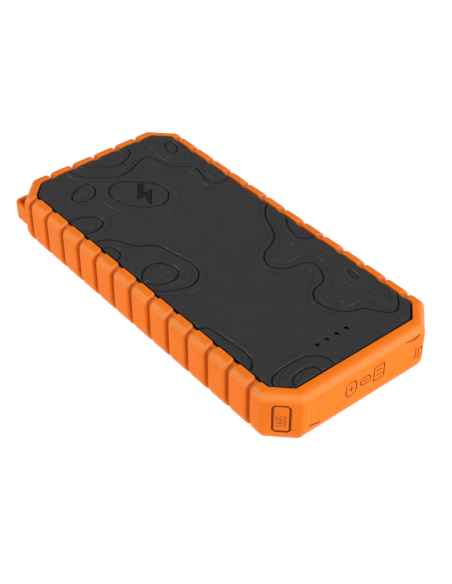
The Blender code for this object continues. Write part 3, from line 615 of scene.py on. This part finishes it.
def make_bumper():
    """The ribbed rubber frame with its loop and every opening through it."""
    rows = bumper_profile()
    d, z = rows[:, 0], rows[:, 1]
    bite = LIP_BITE + (1 - LIP_BITE) * ease((d - LIP_BITE_ZONE[0]) / LIP_BITE_ZONE[1])
    push = rows[:, 2:4] * bite[:, None]
    flare = FLARE * np.clip((FLARE_REACH - d) / FLARE_REACH, 0, 1) ** FLARE_POWER
    flare *= np.abs(z - HEIGHT / 2) > FLARE_FROM
    rings = []
    for inner, outer, u in bumper_stations():
        depth = groove_depth(abs(u) - flare) if u is not None else np.zeros(len(rows))
        share = (d + push[:, 0] * depth) / REACH
        x = inner[0] + (outer[0] - inner[0]) * share
        y = inner[1] + (outer[1] - inner[1]) * share
        rings.append(np.stack([x, y, z + push[:, 1] * depth], 1))
    bumper = to_object("rubber_bumper", skin(rings, closed=True))
    combine(bumper, bumper_cutters())
    combine(bumper, [loop_strap()], "UNION")
    finish_mesh(bumper)
    dress(bumper, "bumper_orange", "body", "bumper_frame")


def front_place(inwards=0.0):
    """Matrix for something on the front face, or that far behind it."""
    return Matrix.Translation((0, FRONT + inwards, 0))


def corner_place(side, end=-1, up=FITTING_Z):
    """Matrix for something on a corner's cut face: side is 1 on the right, and end is 1 at the back."""
    x, y = side * (WIDTH - CORNER_CUT) / 2, end * (LENGTH - CORNER_CUT) / 2
    return Matrix.Translation((x, y, up)) @ Matrix.Rotation(side * (2 + end) * math.pi / 4, 4, "Z")


def corner_axis(side):
    """Matrix that lays a turned solid's Z axis inwards along a front corner's axis."""
    return corner_place(side) @ Matrix.Rotation(-math.pi / 2, 4, "X")


# The slit's floor starts at an (across, up) point and falls by a share of the way across.
SLIT_START, SLIT_FALL, SLIT_TOP = (-28.5, 7.40), 0.28, 20.45
# Openings as (width, height, corner radius), with (inset, depth) stages or (depth, mouth radius).
PORT_WINDOW, WINDOW_STAGES, WINDOW_Y = (45.6, 12.0, 0.4), [(0, 1.5), (0, -3.6)], -85.15
BUTTON_HOLE, BUTTON_MOUTH = (7.5, 13.9, 1.3), (0.9, 0.22)
BUTTON_SEAT = [(0.55, 7.0), (0.55, 1.15), (0.05, 1.0)]
LOOP_POCKET, LOOP_MOUTH = (10.0, 12.9, 1.4), (2.4, 0.35)
TORCH_BORE, TORCH_MOUTH = 5.6, (7.0, 0.4)
# Engraved strokes as (width, depth), and the fingernail pocket's upper line and height.
TORCH_STROKE, SIGN_STROKE = (0.62, 0.42), (0.58, 0.45)
NAIL_START, NAIL_LENGTH, NAIL_FALL, NAIL_HEIGHT = (20.1, 21.2), 9.3, 0.45, 2.0


def slit_floor(x):
    """Height of the narrow slit under the hinge web, which falls towards the flap."""
    return SLIT_START[1] - SLIT_FALL * (x - SLIT_START[0])


def bumper_cutters():
    """Everything that is cut out of the bumper."""
    out = FRONT - 1.0
    left, right = HEEL_X - SEAM, FLAP_X[1] + SEAM
    seat = ((left, SEAT_Y), (right, SEAT_Y), (right, out), (left, out))
    slit = ((-26.75, SEAT_Y), (HEEL_X, SEAT_Y), (HEEL_X, out), (-28.9, out), (-28.6, FRONT + 0.1))
    bore = [(TORCH_BORE - inset, depth) for inset, depth in rim_stages(*TORCH_MOUTH)]
    window = Matrix.Translation((0, WINDOW_Y, PORT_Z))
    tools = [
        skin([[(x, y, z) for x, y in seat] for z in (FLAP_Z[0] - SEAM, FLAP_Z[1] + SEAM)]),
        skin([[(x, y, slit_floor(x)) for x, y in slit], [(x, y, SLIT_TOP) for x, y in slit]]),
        pad(*PORT_WINDOW, WINDOW_STAGES, window),
        pad(*BUTTON_HOLE, BUTTON_SEAT + rim_stages(*BUTTON_MOUTH), corner_place(-1), 1),
        turned(bore, 72, corner_axis(1)),
        pad(*LOOP_POCKET, rim_stages(*LOOP_MOUTH), corner_place(-1, 1, LOOP_Z)),
        crescent(),
    ]
    return tools + [engraving(path, *TORCH_STROKE, front_place()) for path in torch_sign()]


def crescent():
    """The fingernail pocket across the flap's free end: a pointed left tip and a blunt right end."""
    rings = []
    for t in np.linspace(0, 1, 33):
        x, top = NAIL_START[0] + NAIL_LENGTH * t, NAIL_START[1] - NAIL_FALL * t
        tall = max(0.04, NAIL_HEIGHT * (1 - (1 - t) ** 3) * (1 - t ** 8))
        deep = 0.12 + 0.30 * tall
        low = top - tall
        outline = (
            (-1.0, top), (-1.0, low), (face_inset(low), low),
            (face_inset(low) + deep, low + tall * 0.16), (face_inset(top) + deep, top - tall * 0.10),
            (face_inset(top), top),
        )
        rings.append([(x, FRONT + inwards, up) for inwards, up in outline])
    return skin(rings)


def torch_sign():
    """A lamp's round front and two rays, as strokes in (across, up) on the front face."""
    return (
        [(27.3, 8.8), (27.5, 13.9)], [(29.0, 8.7), (29.15, 13.5)],
        [(30.1, 13.5), (30.9, 12.7), (31.4, 11.8), (31.5, 11.0), (31.1, 10.2), (30.4, 9.6)],
    )


def loop_strap():
    """The carrying loop: a flat strap round the back left corner, with soft edges."""
    thick, tall, bend, edge = 2.0, 8.5, 3.2, 0.6
    left, back = -42.4, 90.4
    middle = bend - thick / 2
    path = [(left + thick / 2, y) for y in (76.9, 84.0)]
    for a in np.linspace(0, math.pi / 2, 9):
        path.append((left + bend - middle * math.cos(a), back - bend + middle * math.sin(a)))
    path += [(x, back - thick / 2) for x in (-35.6, -28.8)]
    rings = []
    for i, (x, y) in enumerate(path):
        a, b = path[max(i - 1, 0)], path[min(i + 1, len(path) - 1)]
        along = Vector((b[0] - a[0], b[1] - a[1])).normalized()
        section = rounded(thick, tall, edge, 4)
        rings.append([(x - along[1] * across, y + along[0] * across, LOOP_Z + up) for across, up in section])
    return skin(rings)


# ---- covers

# Hills of the covers' map-like relief: (across, along, height, half width, half length, turn in degrees).
TOP_HILLS = (
    (4, 84, 1.10, 15, 11, 10), (-2, 49, 0.34, 18, 16, 75), (33, 70, 0.62, 10, 16, 0),
    (36, 41, 0.50, 10, 9, 30), (-35, 48, 0.44, 9, 7, -30), (-38, 25, 0.72, 8, 9, 0),
    (-24, 3, 0.60, 13, 17, 15), (-31, -1, 0.55, 7, 6, 0), (36, -12, 0.62, 12, 20, -20),
    (34, -52, 0.58, 11, 26, -12), (14, -22, 0.36, 12, 9, 40), (16, -55, 0.46, 7, 10, -10),
    (-25, -84, 0.80, 12, 10, 0), (-38, -50, 0.48, 9, 17, 0), (-20, 66, 0.34, 7, 6, 0),
    (-4, -8, -0.16, 9, 22, 20), (20, 10, -0.12, 16, 14, 0), (-6, -42, -0.10, 14, 18, 0),
)
BOTTOM_HILLS = (
    (-26, 72, 0.75, 14, 12, 20), (22, 52, 0.55, 13, 15, -15), (2, 82, 0.45, 10, 7, 0),
    (-34, 34, 0.45, 9, 12, 0), (34, 20, 0.40, 8, 15, 0), (-30, -42, 0.60, 12, 15, 10),
    (20, -62, 0.80, 14, 12, -20), (-6, -84, 0.50, 14, 8, 0), (36, -28, 0.45, 8, 10, 0),
)
# Contours of the relief: (level, step in mm of the ground above it, depth in mm of a groove along it).
CONTOURS = (
    (0.13, 0.28, 0.0), (0.22, -0.28, 0.44), (0.33, 0.28, 0.0), (0.45, 0.24, 0.0),
    (0.58, -0.30, 0.40), (0.72, 0.26, 0.0), (0.88, -0.22, 0.0),
)
# Half widths of a contour's step, and of its groove's mouth and floor.
STEP_HALF = 0.16
DITCH_HALF, DITCH_FLOOR = 0.52, 0.20
# The ground's depth below the plate's edge, and the radius of the roll along that edge.
RELIEF_DROP = 0.20
PLATE_ROLL = 0.14
PLATE_FILLET, PLATE_FILLET_STEPS = 1.8, 6
# The grid that a plate is cut from has cells of a millimetre.
PLATE_WIDTH, PLATE_LENGTH = 77, 172
# How near a new edge takes an old vertex, how far apart slopes are measured, and how far contours reach.
CUT_MARGIN, SLOPE_STEP, CONTOUR_REACH = 0.004, 0.05, 6


def distance_inside(points, outline):
    """Distance from each point to a closed outline, negative outside it."""
    best = np.full(len(points), 1e9)
    within = np.zeros(len(points), bool)
    for a, b in zip(outline, np.roll(outline, -1, axis=0)):
        ab = b - a
        t = np.clip(((points - a) @ ab) / (ab @ ab), 0, 1)
        best = np.minimum(best, ((points - a - t[:, None] * ab) ** 2).sum(1))
        if a[1] != b[1]:
            crosses = (a[1] > points[:, 1]) != (b[1] > points[:, 1])
            within ^= crosses & (points[:, 0] < ab[0] * (points[:, 1] - a[1]) / ab[1] + a[0])
    return np.where(within, 1.0, -1.0) * np.sqrt(best)


def terrain(points, hills):
    """The height of a rolling country of hills, for its contours only."""
    x, y = points[:, 0], points[:, 1]
    x, y = (x + 1.6 * np.sin(y / 9.5 + 0.7) + 0.7 * np.sin(y / 4.3),
            y + 1.9 * np.sin(x / 8.2 - 0.4) + 0.6 * np.sin(x / 3.7 + 1.0))
    total = np.zeros(len(points))
    for across, along, height, half_width, half_length, turn in hills:
        c, s = math.cos(math.radians(turn)), math.sin(math.radians(turn))
        u = ((x - across) * c + (y - along) * s) / half_width
        v = ((y - along) * c - (x - across) * s) / half_length
        total += height * np.exp(-(u * u + v * v))
    return total


def past_contour(points, hills, level):
    """Distance from each point to a contour, positive on its high side."""
    here = terrain(points, hills)
    steps = ((SLOPE_STEP, 0.0), (0.0, SLOPE_STEP))
    slopes = [(terrain(points + step, hills) - here) / SLOPE_STEP for step in steps]
    return np.clip((here - level) / (np.hypot(*slopes) + 1e-4), -CONTOUR_REACH, CONTOUR_REACH)


def plan_points(bm):
    """Where a bmesh's vertices stand in plan."""
    return np.array([v.co[:2] for v in bm.verts])


def cut_along(bm, values, offsets):
    """New edges along the lines where the values, one for each vertex, equal each offset."""
    for v, value in zip(bm.verts, values):
        v.co.z = value
    for offset in offsets:
        geometry = bm.verts[:] + bm.edges[:] + bm.faces[:]
        at, up = (0, 0, offset), (0, 0, 1)
        bmesh.ops.bisect_plane(bm, geom=geometry, dist=CUT_MARGIN, plane_co=at, plane_no=up)


def cover_outline():
    """The outline of a cover's plate, with round corners."""
    share = COVER_EDGE / REACH
    points = [tuple(a + (b - a) * share for a, b in zip(i, o)) for i, o in zip(INNER, OUTER)]
    corners = [corner_arc(points, i, PLATE_FILLET, PLATE_FILLET_STEPS) for i in range(8)]
    return np.concatenate(corners)


def relief_slab(hills):
    """A closed slab with relief on its top near height 0, rolled over at its edge."""
    bm = bmesh.new()
    bmesh.ops.create_grid(bm, x_segments=PLATE_WIDTH, y_segments=PLATE_LENGTH, size=0.5)
    bmesh.ops.scale(bm, verts=bm.verts, vec=(PLATE_WIDTH, PLATE_LENGTH, 1.0))
    outline = cover_outline()
    cut_along(bm, distance_inside(plan_points(bm), outline), (0.0, 0.02, 0.06, 0.15))
    gone = [f for f in bm.faces if sum(v.co.z for v in f.verts) < 0]
    bmesh.ops.delete(bm, geom=gone, context="FACES")
    wall = [STEP_HALF * share for share in (-1.0, -0.5, 0.0, 0.5, 1.0)]
    ditch = [-DITCH_HALF, -DITCH_FLOOR, DITCH_FLOOR, DITCH_HALF]
    for level, _, groove in CONTOURS:
        offsets = sorted(wall + ditch) if groove else wall
        cut_along(bm, past_contour(plan_points(bm), hills, level), offsets)
    points = plan_points(bm)
    height = np.full(len(points), -RELIEF_DROP)
    for level, step, groove in CONTOURS:
        past = past_contour(points, hills, level)
        height += step * ease((past / STEP_HALF + 1) / 2)
        height -= groove * ease((DITCH_HALF - np.abs(past)) / (DITCH_HALF - DITCH_FLOOR))
    roll = np.clip(1 - distance_inside(points, outline) / PLATE_ROLL, 0, 1)
    height *= 1 - roll
    height -= PLATE_ROLL * (1 - np.sqrt(np.clip(1 - roll ** 2, 0, 1)))
    for v, z in zip(bm.verts, height):
        v.co.z = z
    border = [e for e in bm.edges if len(e.link_faces) == 1]
    grown = bmesh.ops.extrude_edge_only(bm, edges=border)["geom"]
    lower = [v for v in grown if isinstance(v, bmesh.types.BMVert)]
    for v in lower:
        v.co.z = -PLATE_THICKNESS
    foot = set(lower)
    rim = [e for e in grown if isinstance(e, bmesh.types.BMEdge) and foot.issuperset(e.verts)]
    bmesh.ops.triangle_fill(bm, edges=rim, use_beauty=False)
    return bm


def copy_of(node):
    """A closed millimetre bmesh of a CAD node's mesh."""
    bm = bmesh.new()
    bm.from_mesh(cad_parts[node].data)
    bmesh.ops.scale(bm, verts=bm.verts, vec=(1 / MM, 1 / MM, 1 / MM))
    bmesh.ops.remove_doubles(bm, verts=bm.verts, dist=WELD)
    return bm


def block(low, high):
    """A box between two corners."""
    bm = bmesh.new()
    bmesh.ops.create_cube(bm, size=1.0)
    bmesh.ops.scale(bm, verts=bm.verts, vec=[b - a for a, b in zip(low, high)])
    bmesh.ops.translate(bm, verts=bm.verts, vec=[(a + b) / 2 for a, b in zip(low, high)])
    return bm


def pushed_out(outline, grow):
    """A closed outline, given anticlockwise, with every side moved outwards."""
    moved = []
    for i, point in enumerate(outline):
        before, here = Vector(outline[i - 1]), Vector(point)
        after = Vector(outline[(i + 1) % len(outline)])
        one, two = (here - before).normalized(), (after - here).normalized()
        out = Vector((one[1], -one[0])) + Vector((two[1], -two[0]))
        moved.append(tuple(here + out * grow * 2 / out.length_squared))
    return moved


BOLT = ((2.4, 8.0), (-4.9, -1.1), (-0.9, -1.1), (-2.6, -8.0), (4.9, 1.6), (0.8, 1.6), (4.5, 8.0))
BOLT_Y = 48.4
# The sunk bolt and its inlay as (growth, depth) levels, an indicator hole as (radius, depth), and a
# screw's well as (radius, height).
BOLT_POCKET = ((0.0, 0.75), (0.0, 0.2), (0.5, -0.6))
BOLT_INLAY = ((-0.10, 0.74), (-0.06, 0.48), (-0.12, 0.40), (-0.30, 0.36))
INDICATOR_HOLE = ((1.0, 3.6), (1.0, 0.22), (1.1, 0.06), (1.3, -0.5))
SCREW_WELL = ((2.75, -1.0), (2.75, 0.2), (2.35, 0.65), (2.35, 2.6), (1.4, 2.6), (1.4, 3.2))


def bolt_sign(levels):
    """A lightning bolt, the sign for power, as a solid through (growth, depth in the cover) levels."""
    return skin([
        [(x, BOLT_Y + y, COVER_TOP - depth) for x, y in pushed_out(BOLT, grow)] for grow, depth in levels
    ])


def relief_cover(name, node, hills, place, gone, tools):
    """A CAD cover with a slab of relief for its outer layer, and with the tools cut out."""
    cover = to_object(name, copy_of(node))
    combine(cover, [block((-WIDTH, -LENGTH, gone[0]), (WIDTH, LENGTH, gone[1]))])
    slab = relief_slab(hills)
    bmesh.ops.transform(slab, verts=slab.verts, matrix=place)
    combine(cover, [slab], "UNION")
    combine(cover, tools)
    finish_mesh(cover, COVER_ANGLE)
    dress(cover, "cover_black", "body", node)


def make_top_cover():
    """The upper cover, with its indicator holes and its sunk mark."""
    place = Matrix.Translation((0, 0, COVER_TOP))
    gone = (COVER_TOP - PLATE_THICKNESS + PLATE_OVERLAP, HEIGHT + OVERSHOOT)
    hole = [(r, COVER_TOP - depth) for r, depth in INDICATOR_HOLE]
    tools = [turned(hole, 32, Matrix.Translation((x, y, 0))) for x, y in INDICATORS]
    tools.append(bolt_sign(BOLT_POCKET))
    relief_cover("relief_cover_top", "top_cover", TOP_HILLS, place, gone, tools)
    dress(to_object("power_mark_inlay", bolt_sign(BOLT_INLAY)), "mark_black", "body", slot="cover_black")


def make_bottom_shell():
    """The lower tub, with a relief like the upper cover's and its screw wells."""
    place = Matrix.Translation((0, 0, COVER_BOTTOM)) @ Matrix.Scale(-1, 4, (0, 0, 1))
    gone = (-OVERSHOOT, COVER_BOTTOM + PLATE_THICKNESS - PLATE_OVERLAP)
    wells = [turned(SCREW_WELL, 40, Matrix.Translation((x, y, 0))) for x, y in SCREWS]
    relief_cover("relief_shell_bottom", "bottom_shell", BOTTOM_HILLS, place, gone, wells)


# ---- flap, web and button

# The face's slight hollow, the seal ridge as (width, height, corner radius, stages), how the signs
# lie, and the web's front and back behind the face and its soft stretch.
FLAP_HOLLOW = 0.05
RIDGE_Y = -88.3
RIDGE_OUTSIDE = (44.6, 11.0, 1.6, [(0.25, 1.7), (0.0, 1.4), (0.0, -0.3)])
RIDGE_INSIDE = (42.6, 9.0, 1.0, [(0, 3.0), (0, 0.0)])
SIGN_SINK, SIGN_UP = 0.12, 13.7
WEB_FRONT, WEB_BACK, WEB_BLEND = 0.10, 0.62, (-27.3, -23.8)


def flap_columns():
    """(across, fullness) of each upright section of the flap; its round end is less than full."""
    angles = np.linspace(0, math.pi / 2, 7)
    columns = [(HINGE_X - KNUCKLE * math.cos(a), max(math.sin(a), 0.12)) for a in angles]
    near = [-24.4, -24.0, -23.8, FLAP_X[0], -23.45, -23.3, -23.1, HEEL_X - 0.01, HEEL_X, -22.7, -22.4]
    far = [22.8, 23.2, 23.5, 23.8, 24.0, 24.15, 24.24, FLAP_X[1]]
    return columns + [(x, 1.0) for x in near + list(np.arange(-22.0, 22.5, 1.0)) + far]


def make_flap():
    """The rubber door over the ports, with its seal ridge and port signs."""
    levels = np.concatenate([[0, 0.004, 0.012], np.linspace(0.03, 0.97, 36), [0.988, 0.996, 1.0]])
    rings = []
    for x, fullness in flap_columns():
        over_web = ease((x - FLAP_X[0]) / 0.25)
        low, high = FLAP_Z if x >= HEEL_X else (HEEL_Z[0] - HEEL_DROP * over_web, HEEL_Z[1])
        ring = []
        for z in low + (high - low) * levels:
            edge = min(z - low, high - z, FLAP_X[1] - x if x > 0 else math.inf)
            soften = 0.10 * (1 - min(edge / 0.12, 1.0)) ** 2
            hollow = FLAP_HOLLOW * ease(24.1 - x) * ease(x + 23.3)
            hollow *= ease((z - 5.2) / 1.2) * ease((19.2 - z) / 1.4)
            face = FRONT + face_inset(z) + soften + hollow
            knuckle = HINGE_Y - KNUCKLE * fullness + face_inset(z)
            ring.append((x, knuckle + (face - knuckle) * over_web, z))
        back = HINGE_Y + 0.85 * fullness * (1 - over_web) + 1.15 * over_web
        ring += [(x, back, high), (x, back, low)]
        rings.append(ring)
    flap = to_object("port_flap_door", skin(rings))
    place = Matrix.Translation((0, RIDGE_Y, PORT_Z))
    ridge = to_object("ridge", pad(*RIDGE_OUTSIDE, place))
    combine(ridge, [pad(*RIDGE_INSIDE, place)])
    combine(flap, [ridge], "UNION")
    face = front_place(SIGN_SINK)
    signs = [engraving(path, *SIGN_STROKE, face, closed) for path, closed in port_signs()]
    combine(flap, signs + [crescent()])
    finish_mesh(flap)
    dress(flap, "bumper_orange", "flap", "port_flap")


def port_signs():
    """Three port signs, as (path, whether it is closed): a round, a flat and a square plug."""
    signs = []
    for x, (w, h, r) in ((-7.2, (5.4, 7.0, 2.4)), (0.2, (5.2, 3.6, 1.7)), (7.4, (5.4, 7.0, 0.7))):
        signs.append(([(x + a, SIGN_UP + b) for a, b in rounded(w, h, r, 5)], True))
    strokes = (
        (-8.4, 0.0, -6.0, 0.0), (-7.2, -1.3, -7.2, 1.3), (-1.0, 0.0, 1.4, 0.0),
        (6.0, -1.2, 8.8, -1.2), (6.0, 1.2, 8.8, 1.2),
    )
    return signs + [([(a, SIGN_UP + b), (c, SIGN_UP + d)], False) for a, b, c, d in strokes]


def make_web():
    """The living hinge: a thin ribbed web from the bumper to the flap."""
    rings = []
    for x in np.linspace(*WEB_X, 44):
        ribs = sum(WEB_RIB_HEIGHT * math.exp(-((x - c) / WEB_RIB_WIDTH) ** 2) for c in WEB_RIBS)
        arch = 0.6 * max(0.0, (WEB_X[0] + 2.2 - x) / 2.2) ** 3
        low, high = slit_floor(x) + 0.5, WEB_TOP - arch
        front, back = [], []
        for z in low + (high - low) * np.linspace(0, 1, 26):
            soften = 0.12 * (1 - min(min(z - low, high - z) / 0.2, 1.0)) ** 2
            face = FRONT + face_inset(z)
            front.append((x, face + WEB_FRONT + ribs + soften, z))
            back.append((x, face + WEB_BACK - soften / 2, z))
        rings.append(front + back[::-1])
    web = to_object("flap_hinge_web", skin(rings), 60.0)
    web.data.materials.append(FINISHES["bumper_orange"])
    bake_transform(web)


def make_button():
    """The power button: a pillowed cap with a battery sign, on its square stem."""
    place = corner_place(-1)
    roll = 0.42
    stages = [(0.25, 3.4), (0.0, 3.15), (0.0, 0.55)]
    for a in np.linspace(0.2, math.pi / 2, 6):
        stages.append((roll * (1 - math.cos(a)), 0.55 - roll * math.sin(a)))
    stages += [(0.8, 0.10), (1.4, 0.07), (2.0, 0.05)]
    cap = to_object("power_button_cap", pad(6.0, 12.4, 0.9, stages, place, 2))
    combine(cap, [pad(3.0, 3.0, 0.2, [(0, 6.6), (0, 2.5)], place)], "UNION")
    outline = [(a, b - 0.9) for a, b in rounded(3.6, 5.2, 0.4, 4)]
    tools = [engraving(outline, 0.30, 0.30, place, True)]
    tools += [engraving([(-1.0, up), (0.25, up)], 0.55, 0.48, place) for up in (-2.2, -1.0, 0.2)]
    tools.append(engraving([(1.25, -2.9), (1.25, 1.1)], 0.45, 0.25, place))
    combine(cap, tools)
    finish_mesh(cap)
    dress(cap, "bumper_orange", "button", "power_button")


# ---- small fittings

LENS_RING_HEIGHT, LENS_RING_PITCH, LENS_RINGS_END = 0.05, 0.8, 4.2
# Each kind of socket as (width, depth, height, corner radius), and its contacts as (count, pitch,
# width, distance behind the mouth, length, underside and top above the ports' middle).
PORT_MOUTH, PORT_WALL = -83.6, 0.3
USB_A = ((13.1, 12.4, 5.7, 0.8), (4, 2.3, 1.2, 3.2, 5.5, -0.02, 0.12))
USB_C = ((8.9, 7.3, 3.3, 1.55), (6, 0.9, 0.4, 1.6, 2.4, 0.35, 0.43))
PORTS = (("usb_a_port_1", -15.8, USB_A), ("usb_c_port", 0.0, USB_C), ("usb_a_port_2", 15.8, USB_A))


def make_torch():
    """The torch's domed lens with fine moulded rings."""
    profile = [(SLIVER, 0.35)]
    for r in np.arange(1, 45) / 10:
        wave = 0.5 - 0.5 * math.cos(2 * math.pi * r / LENS_RING_PITCH) if r < LENS_RINGS_END else 0.0
        profile.append((r, 0.35 + 0.15 * (r / 4.4) ** 2 + LENS_RING_HEIGHT * wave))
    profile += [(4.7, 0.60), (4.95, 0.75), (5.08, 0.95), (5.1, 1.05), (5.1, 1.85), (5.0, 1.9)]
    lens = to_object("torch_front_lens", turned(profile, 72, corner_axis(1)))
    dress(lens, "lens_clear", "body", "torch_lens")


def make_ports():
    """Drawn steel shells with rolled mouths, and gold contacts on the tongues."""
    for name, x, ((width, depth, height, radius), contacts) in PORTS:
        place = Matrix.Translation((x, PORT_MOUTH, PORT_Z))
        stages = [(0.15, depth), (0.0, depth - 0.15), (0.0, 0.12), (0.05, 0.03), (0.14, 0.0), (0.22, 0.03),
                  (PORT_WALL, 0.14), (PORT_WALL, depth - PORT_WALL)]
        shell = to_object(f"{name}_sleeve", pad(width, height, radius, stages, place, 7))
        for side in (-1, 1) if name.startswith("usb_a") else ():
            spring = Matrix.Translation((x + side * 3.0, PORT_MOUTH, PORT_Z + 5.0))
            combine(shell, [pad(2.2, 6.0, 0.2, [(0, 5.2), (0, 2.6)], spring)])
        finish_mesh(shell)
        dress(shell, "port_steel", "body", f"{name}_shell")
        strip = to_object(f"{name}_contacts", contact_strip(x, *contacts))
        dress(strip, "contact_gold", "body", slot="port_steel")


def contact_strip(x, count, pitch, width, start, length, low, high):
    """A row of flat contacts with soft edges, as one bmesh."""
    strip = bmesh.new()
    for k in range(count):
        across = x + (k - (count - 1) / 2) * pitch
        near, far = PORT_MOUTH + start, PORT_MOUTH + start + length
        part = block((across - width / 2, near, PORT_Z + low), (across + width / 2, far, PORT_Z + high))
        bmesh.ops.bevel(part, geom=part.edges[:], offset=0.03, segments=2, affect="EDGES")
        piece = bpy.data.meshes.new("contact")
        part.to_mesh(piece)
        part.free()
        strip.from_mesh(piece)
        bpy.data.meshes.remove(piece)
    return strip


# The screws' thread, and a slot's two corners and its turn from one screw to the next.
THREAD_START, THREAD_TURNS, THREAD_PITCH, THREAD_RISE = 2.8, 15, 0.75, 0.3
THREAD_ROOT, THREAD_CREST = 0.82, 1.0
SCREW_SLOT = ((-1.15, -0.24, 0.3), (1.15, 0.24, 1.75))
SCREW_TURN = 0.4


def make_screws():
    """Cross-head screws in the bottom shell's wells."""
    profile = [(SLIVER, 0.86), (1.1, 0.9), (1.6, 1.0), (1.85, 1.15), (1.95, 1.35), (1.95, 2.25)]
    profile += [(1.9, 2.3), (1.0, 2.3)]
    for k in range(THREAD_TURNS):
        z = THREAD_START + THREAD_PITCH * k
        profile += [(THREAD_ROOT, z), (THREAD_CREST, z + THREAD_RISE)]
    profile += [(0.8, 13.9), (0.35, 14.6)]
    for i, (x, y) in enumerate(SCREWS):
        place = Matrix.Translation((x, y, 0))
        screw = to_object(f"cover_screw_{i + 1}_head", turned(profile, 40, place))
        for quarter in (0, 1):
            slot = block(*SCREW_SLOT)
            turn = Matrix.Rotation(math.pi / 2 * quarter + SCREW_TURN * i, 4, "Z")
            bmesh.ops.transform(slot, verts=slot.verts, matrix=place @ turn)
            combine(screw, [slot])
        finish_mesh(screw)
        dress(screw, "screw_steel", "body", f"cover_screw_{i + 1}")


# The finish of each CAD node that stays, by a word in its name; the others are black plastic parts.
CAD_FINISHES = (
    ("port_bezel", "cover_black"), ("battery_cell", "cell_foil"), ("cell_pad", "foam_white"),
    ("board", "board_green"), ("gasket", "gasket_black"), ("inductor", "ferrite_grey"),
    ("capacitor", "can_steel"), ("lead_positive", "wire_red"), ("lead_negative", "wire_black"),
    ("reflector", "reflector_bright"), ("torch_led", "led_yellow"), ("indicator_led", "led_white"),
    ("light_pipe", "smoked_clear"), ("button_switch", "can_steel"),
)


def dress_cad_nodes():
    """Procedural finishes for the CAD nodes that stay."""
    for name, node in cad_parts.items():
        if not node.hide_render:
            finish = next((finish for word, finish in CAD_FINISHES if word in name), "chip_black")
            node.data.materials.clear()
            node.data.materials.append(FINISHES[finish])


# ---- setting

# Camera as solved from the photo's view: place in metres, turns in degrees and lens in mm.
CAMERA_PLACE = (-0.25348, -0.31677, 0.33710)
CAMERA_TURN = (50.162, 0.0, -39.377)
CAMERA_LENS = 75.70
# The floor glows a little, as a lit white table does in a product photo.
FLOOR_HALF_SIZE, FLOOR_GAP = 3000.0, 0.05
FLOOR_COLOUR, FLOOR_GLOW = (0.20, 0.20, 0.20), 0.90
WHITE = (1.0, 1.0, 1.0, 1.0)
WORLD_STRENGTH = 0.30
# Each lamp's name, place and size in metres, and power in watts; all point at the middle.
LAMPS = (
    ("key", (0.60, -0.95, 0.60), 0.75, 9.4),
    ("rim", (-0.75, 0.80, 0.85), 0.5, 8.6),
    ("fill", (-0.50, -1.00, 0.50), 0.9, 3.7),
)
LAMP_AIM = (0.0, 0.0, 0.01)


def make_setting():
    """Camera, pale floor and soft studio light."""
    scene = bpy.context.scene
    camera = bpy.data.objects.new("camera", bpy.data.cameras.new("camera"))
    camera.location = CAMERA_PLACE
    camera.rotation_euler = [math.radians(angle) for angle in CAMERA_TURN]
    camera.data.lens = CAMERA_LENS
    camera.data.sensor_width = 36.0
    camera.data.clip_start = 0.01
    scene.collection.objects.link(camera)
    scene.camera = camera
    floor = bmesh.new()
    bmesh.ops.create_grid(floor, x_segments=2, y_segments=2, size=FLOOR_HALF_SIZE)
    bmesh.ops.translate(floor, verts=floor.verts, vec=(0, 0, -FLOOR_GAP))
    floor = to_object("studio_floor", floor)
    finish = material("studio_floor", FLOOR_COLOUR, 0.8, mottle=0.004, specular=0.05)
    fill(finish.node_tree.nodes["Principled BSDF"], Emission_Color=WHITE, Emission_Strength=FLOOR_GLOW)
    floor.data.materials.append(finish)
    world = bpy.data.worlds.new("studio")
    world.use_nodes = True
    fill(world.node_tree.nodes["Background"], Color=WHITE, Strength=WORLD_STRENGTH)
    scene.world = world
    scene.view_settings.view_transform = "Standard"
    for name, place, size, power in LAMPS:
        lamp = bpy.data.objects.new(name, bpy.data.lights.new(name, "AREA"))
        lamp.data.shape = "DISK"
        lamp.data.size = size
        lamp.data.energy = power
        lamp.location = place
        lamp.rotation_euler = (Vector(LAMP_AIM) - Vector(place)).to_track_quat("-Z", "Y").to_euler()
        scene.collection.objects.link(lamp)


make_setting()
make_bumper()
make_top_cover()
make_bottom_shell()
make_flap()
make_web()
make_button()
make_torch()
make_ports()
make_screws()
dress_cad_nodes()
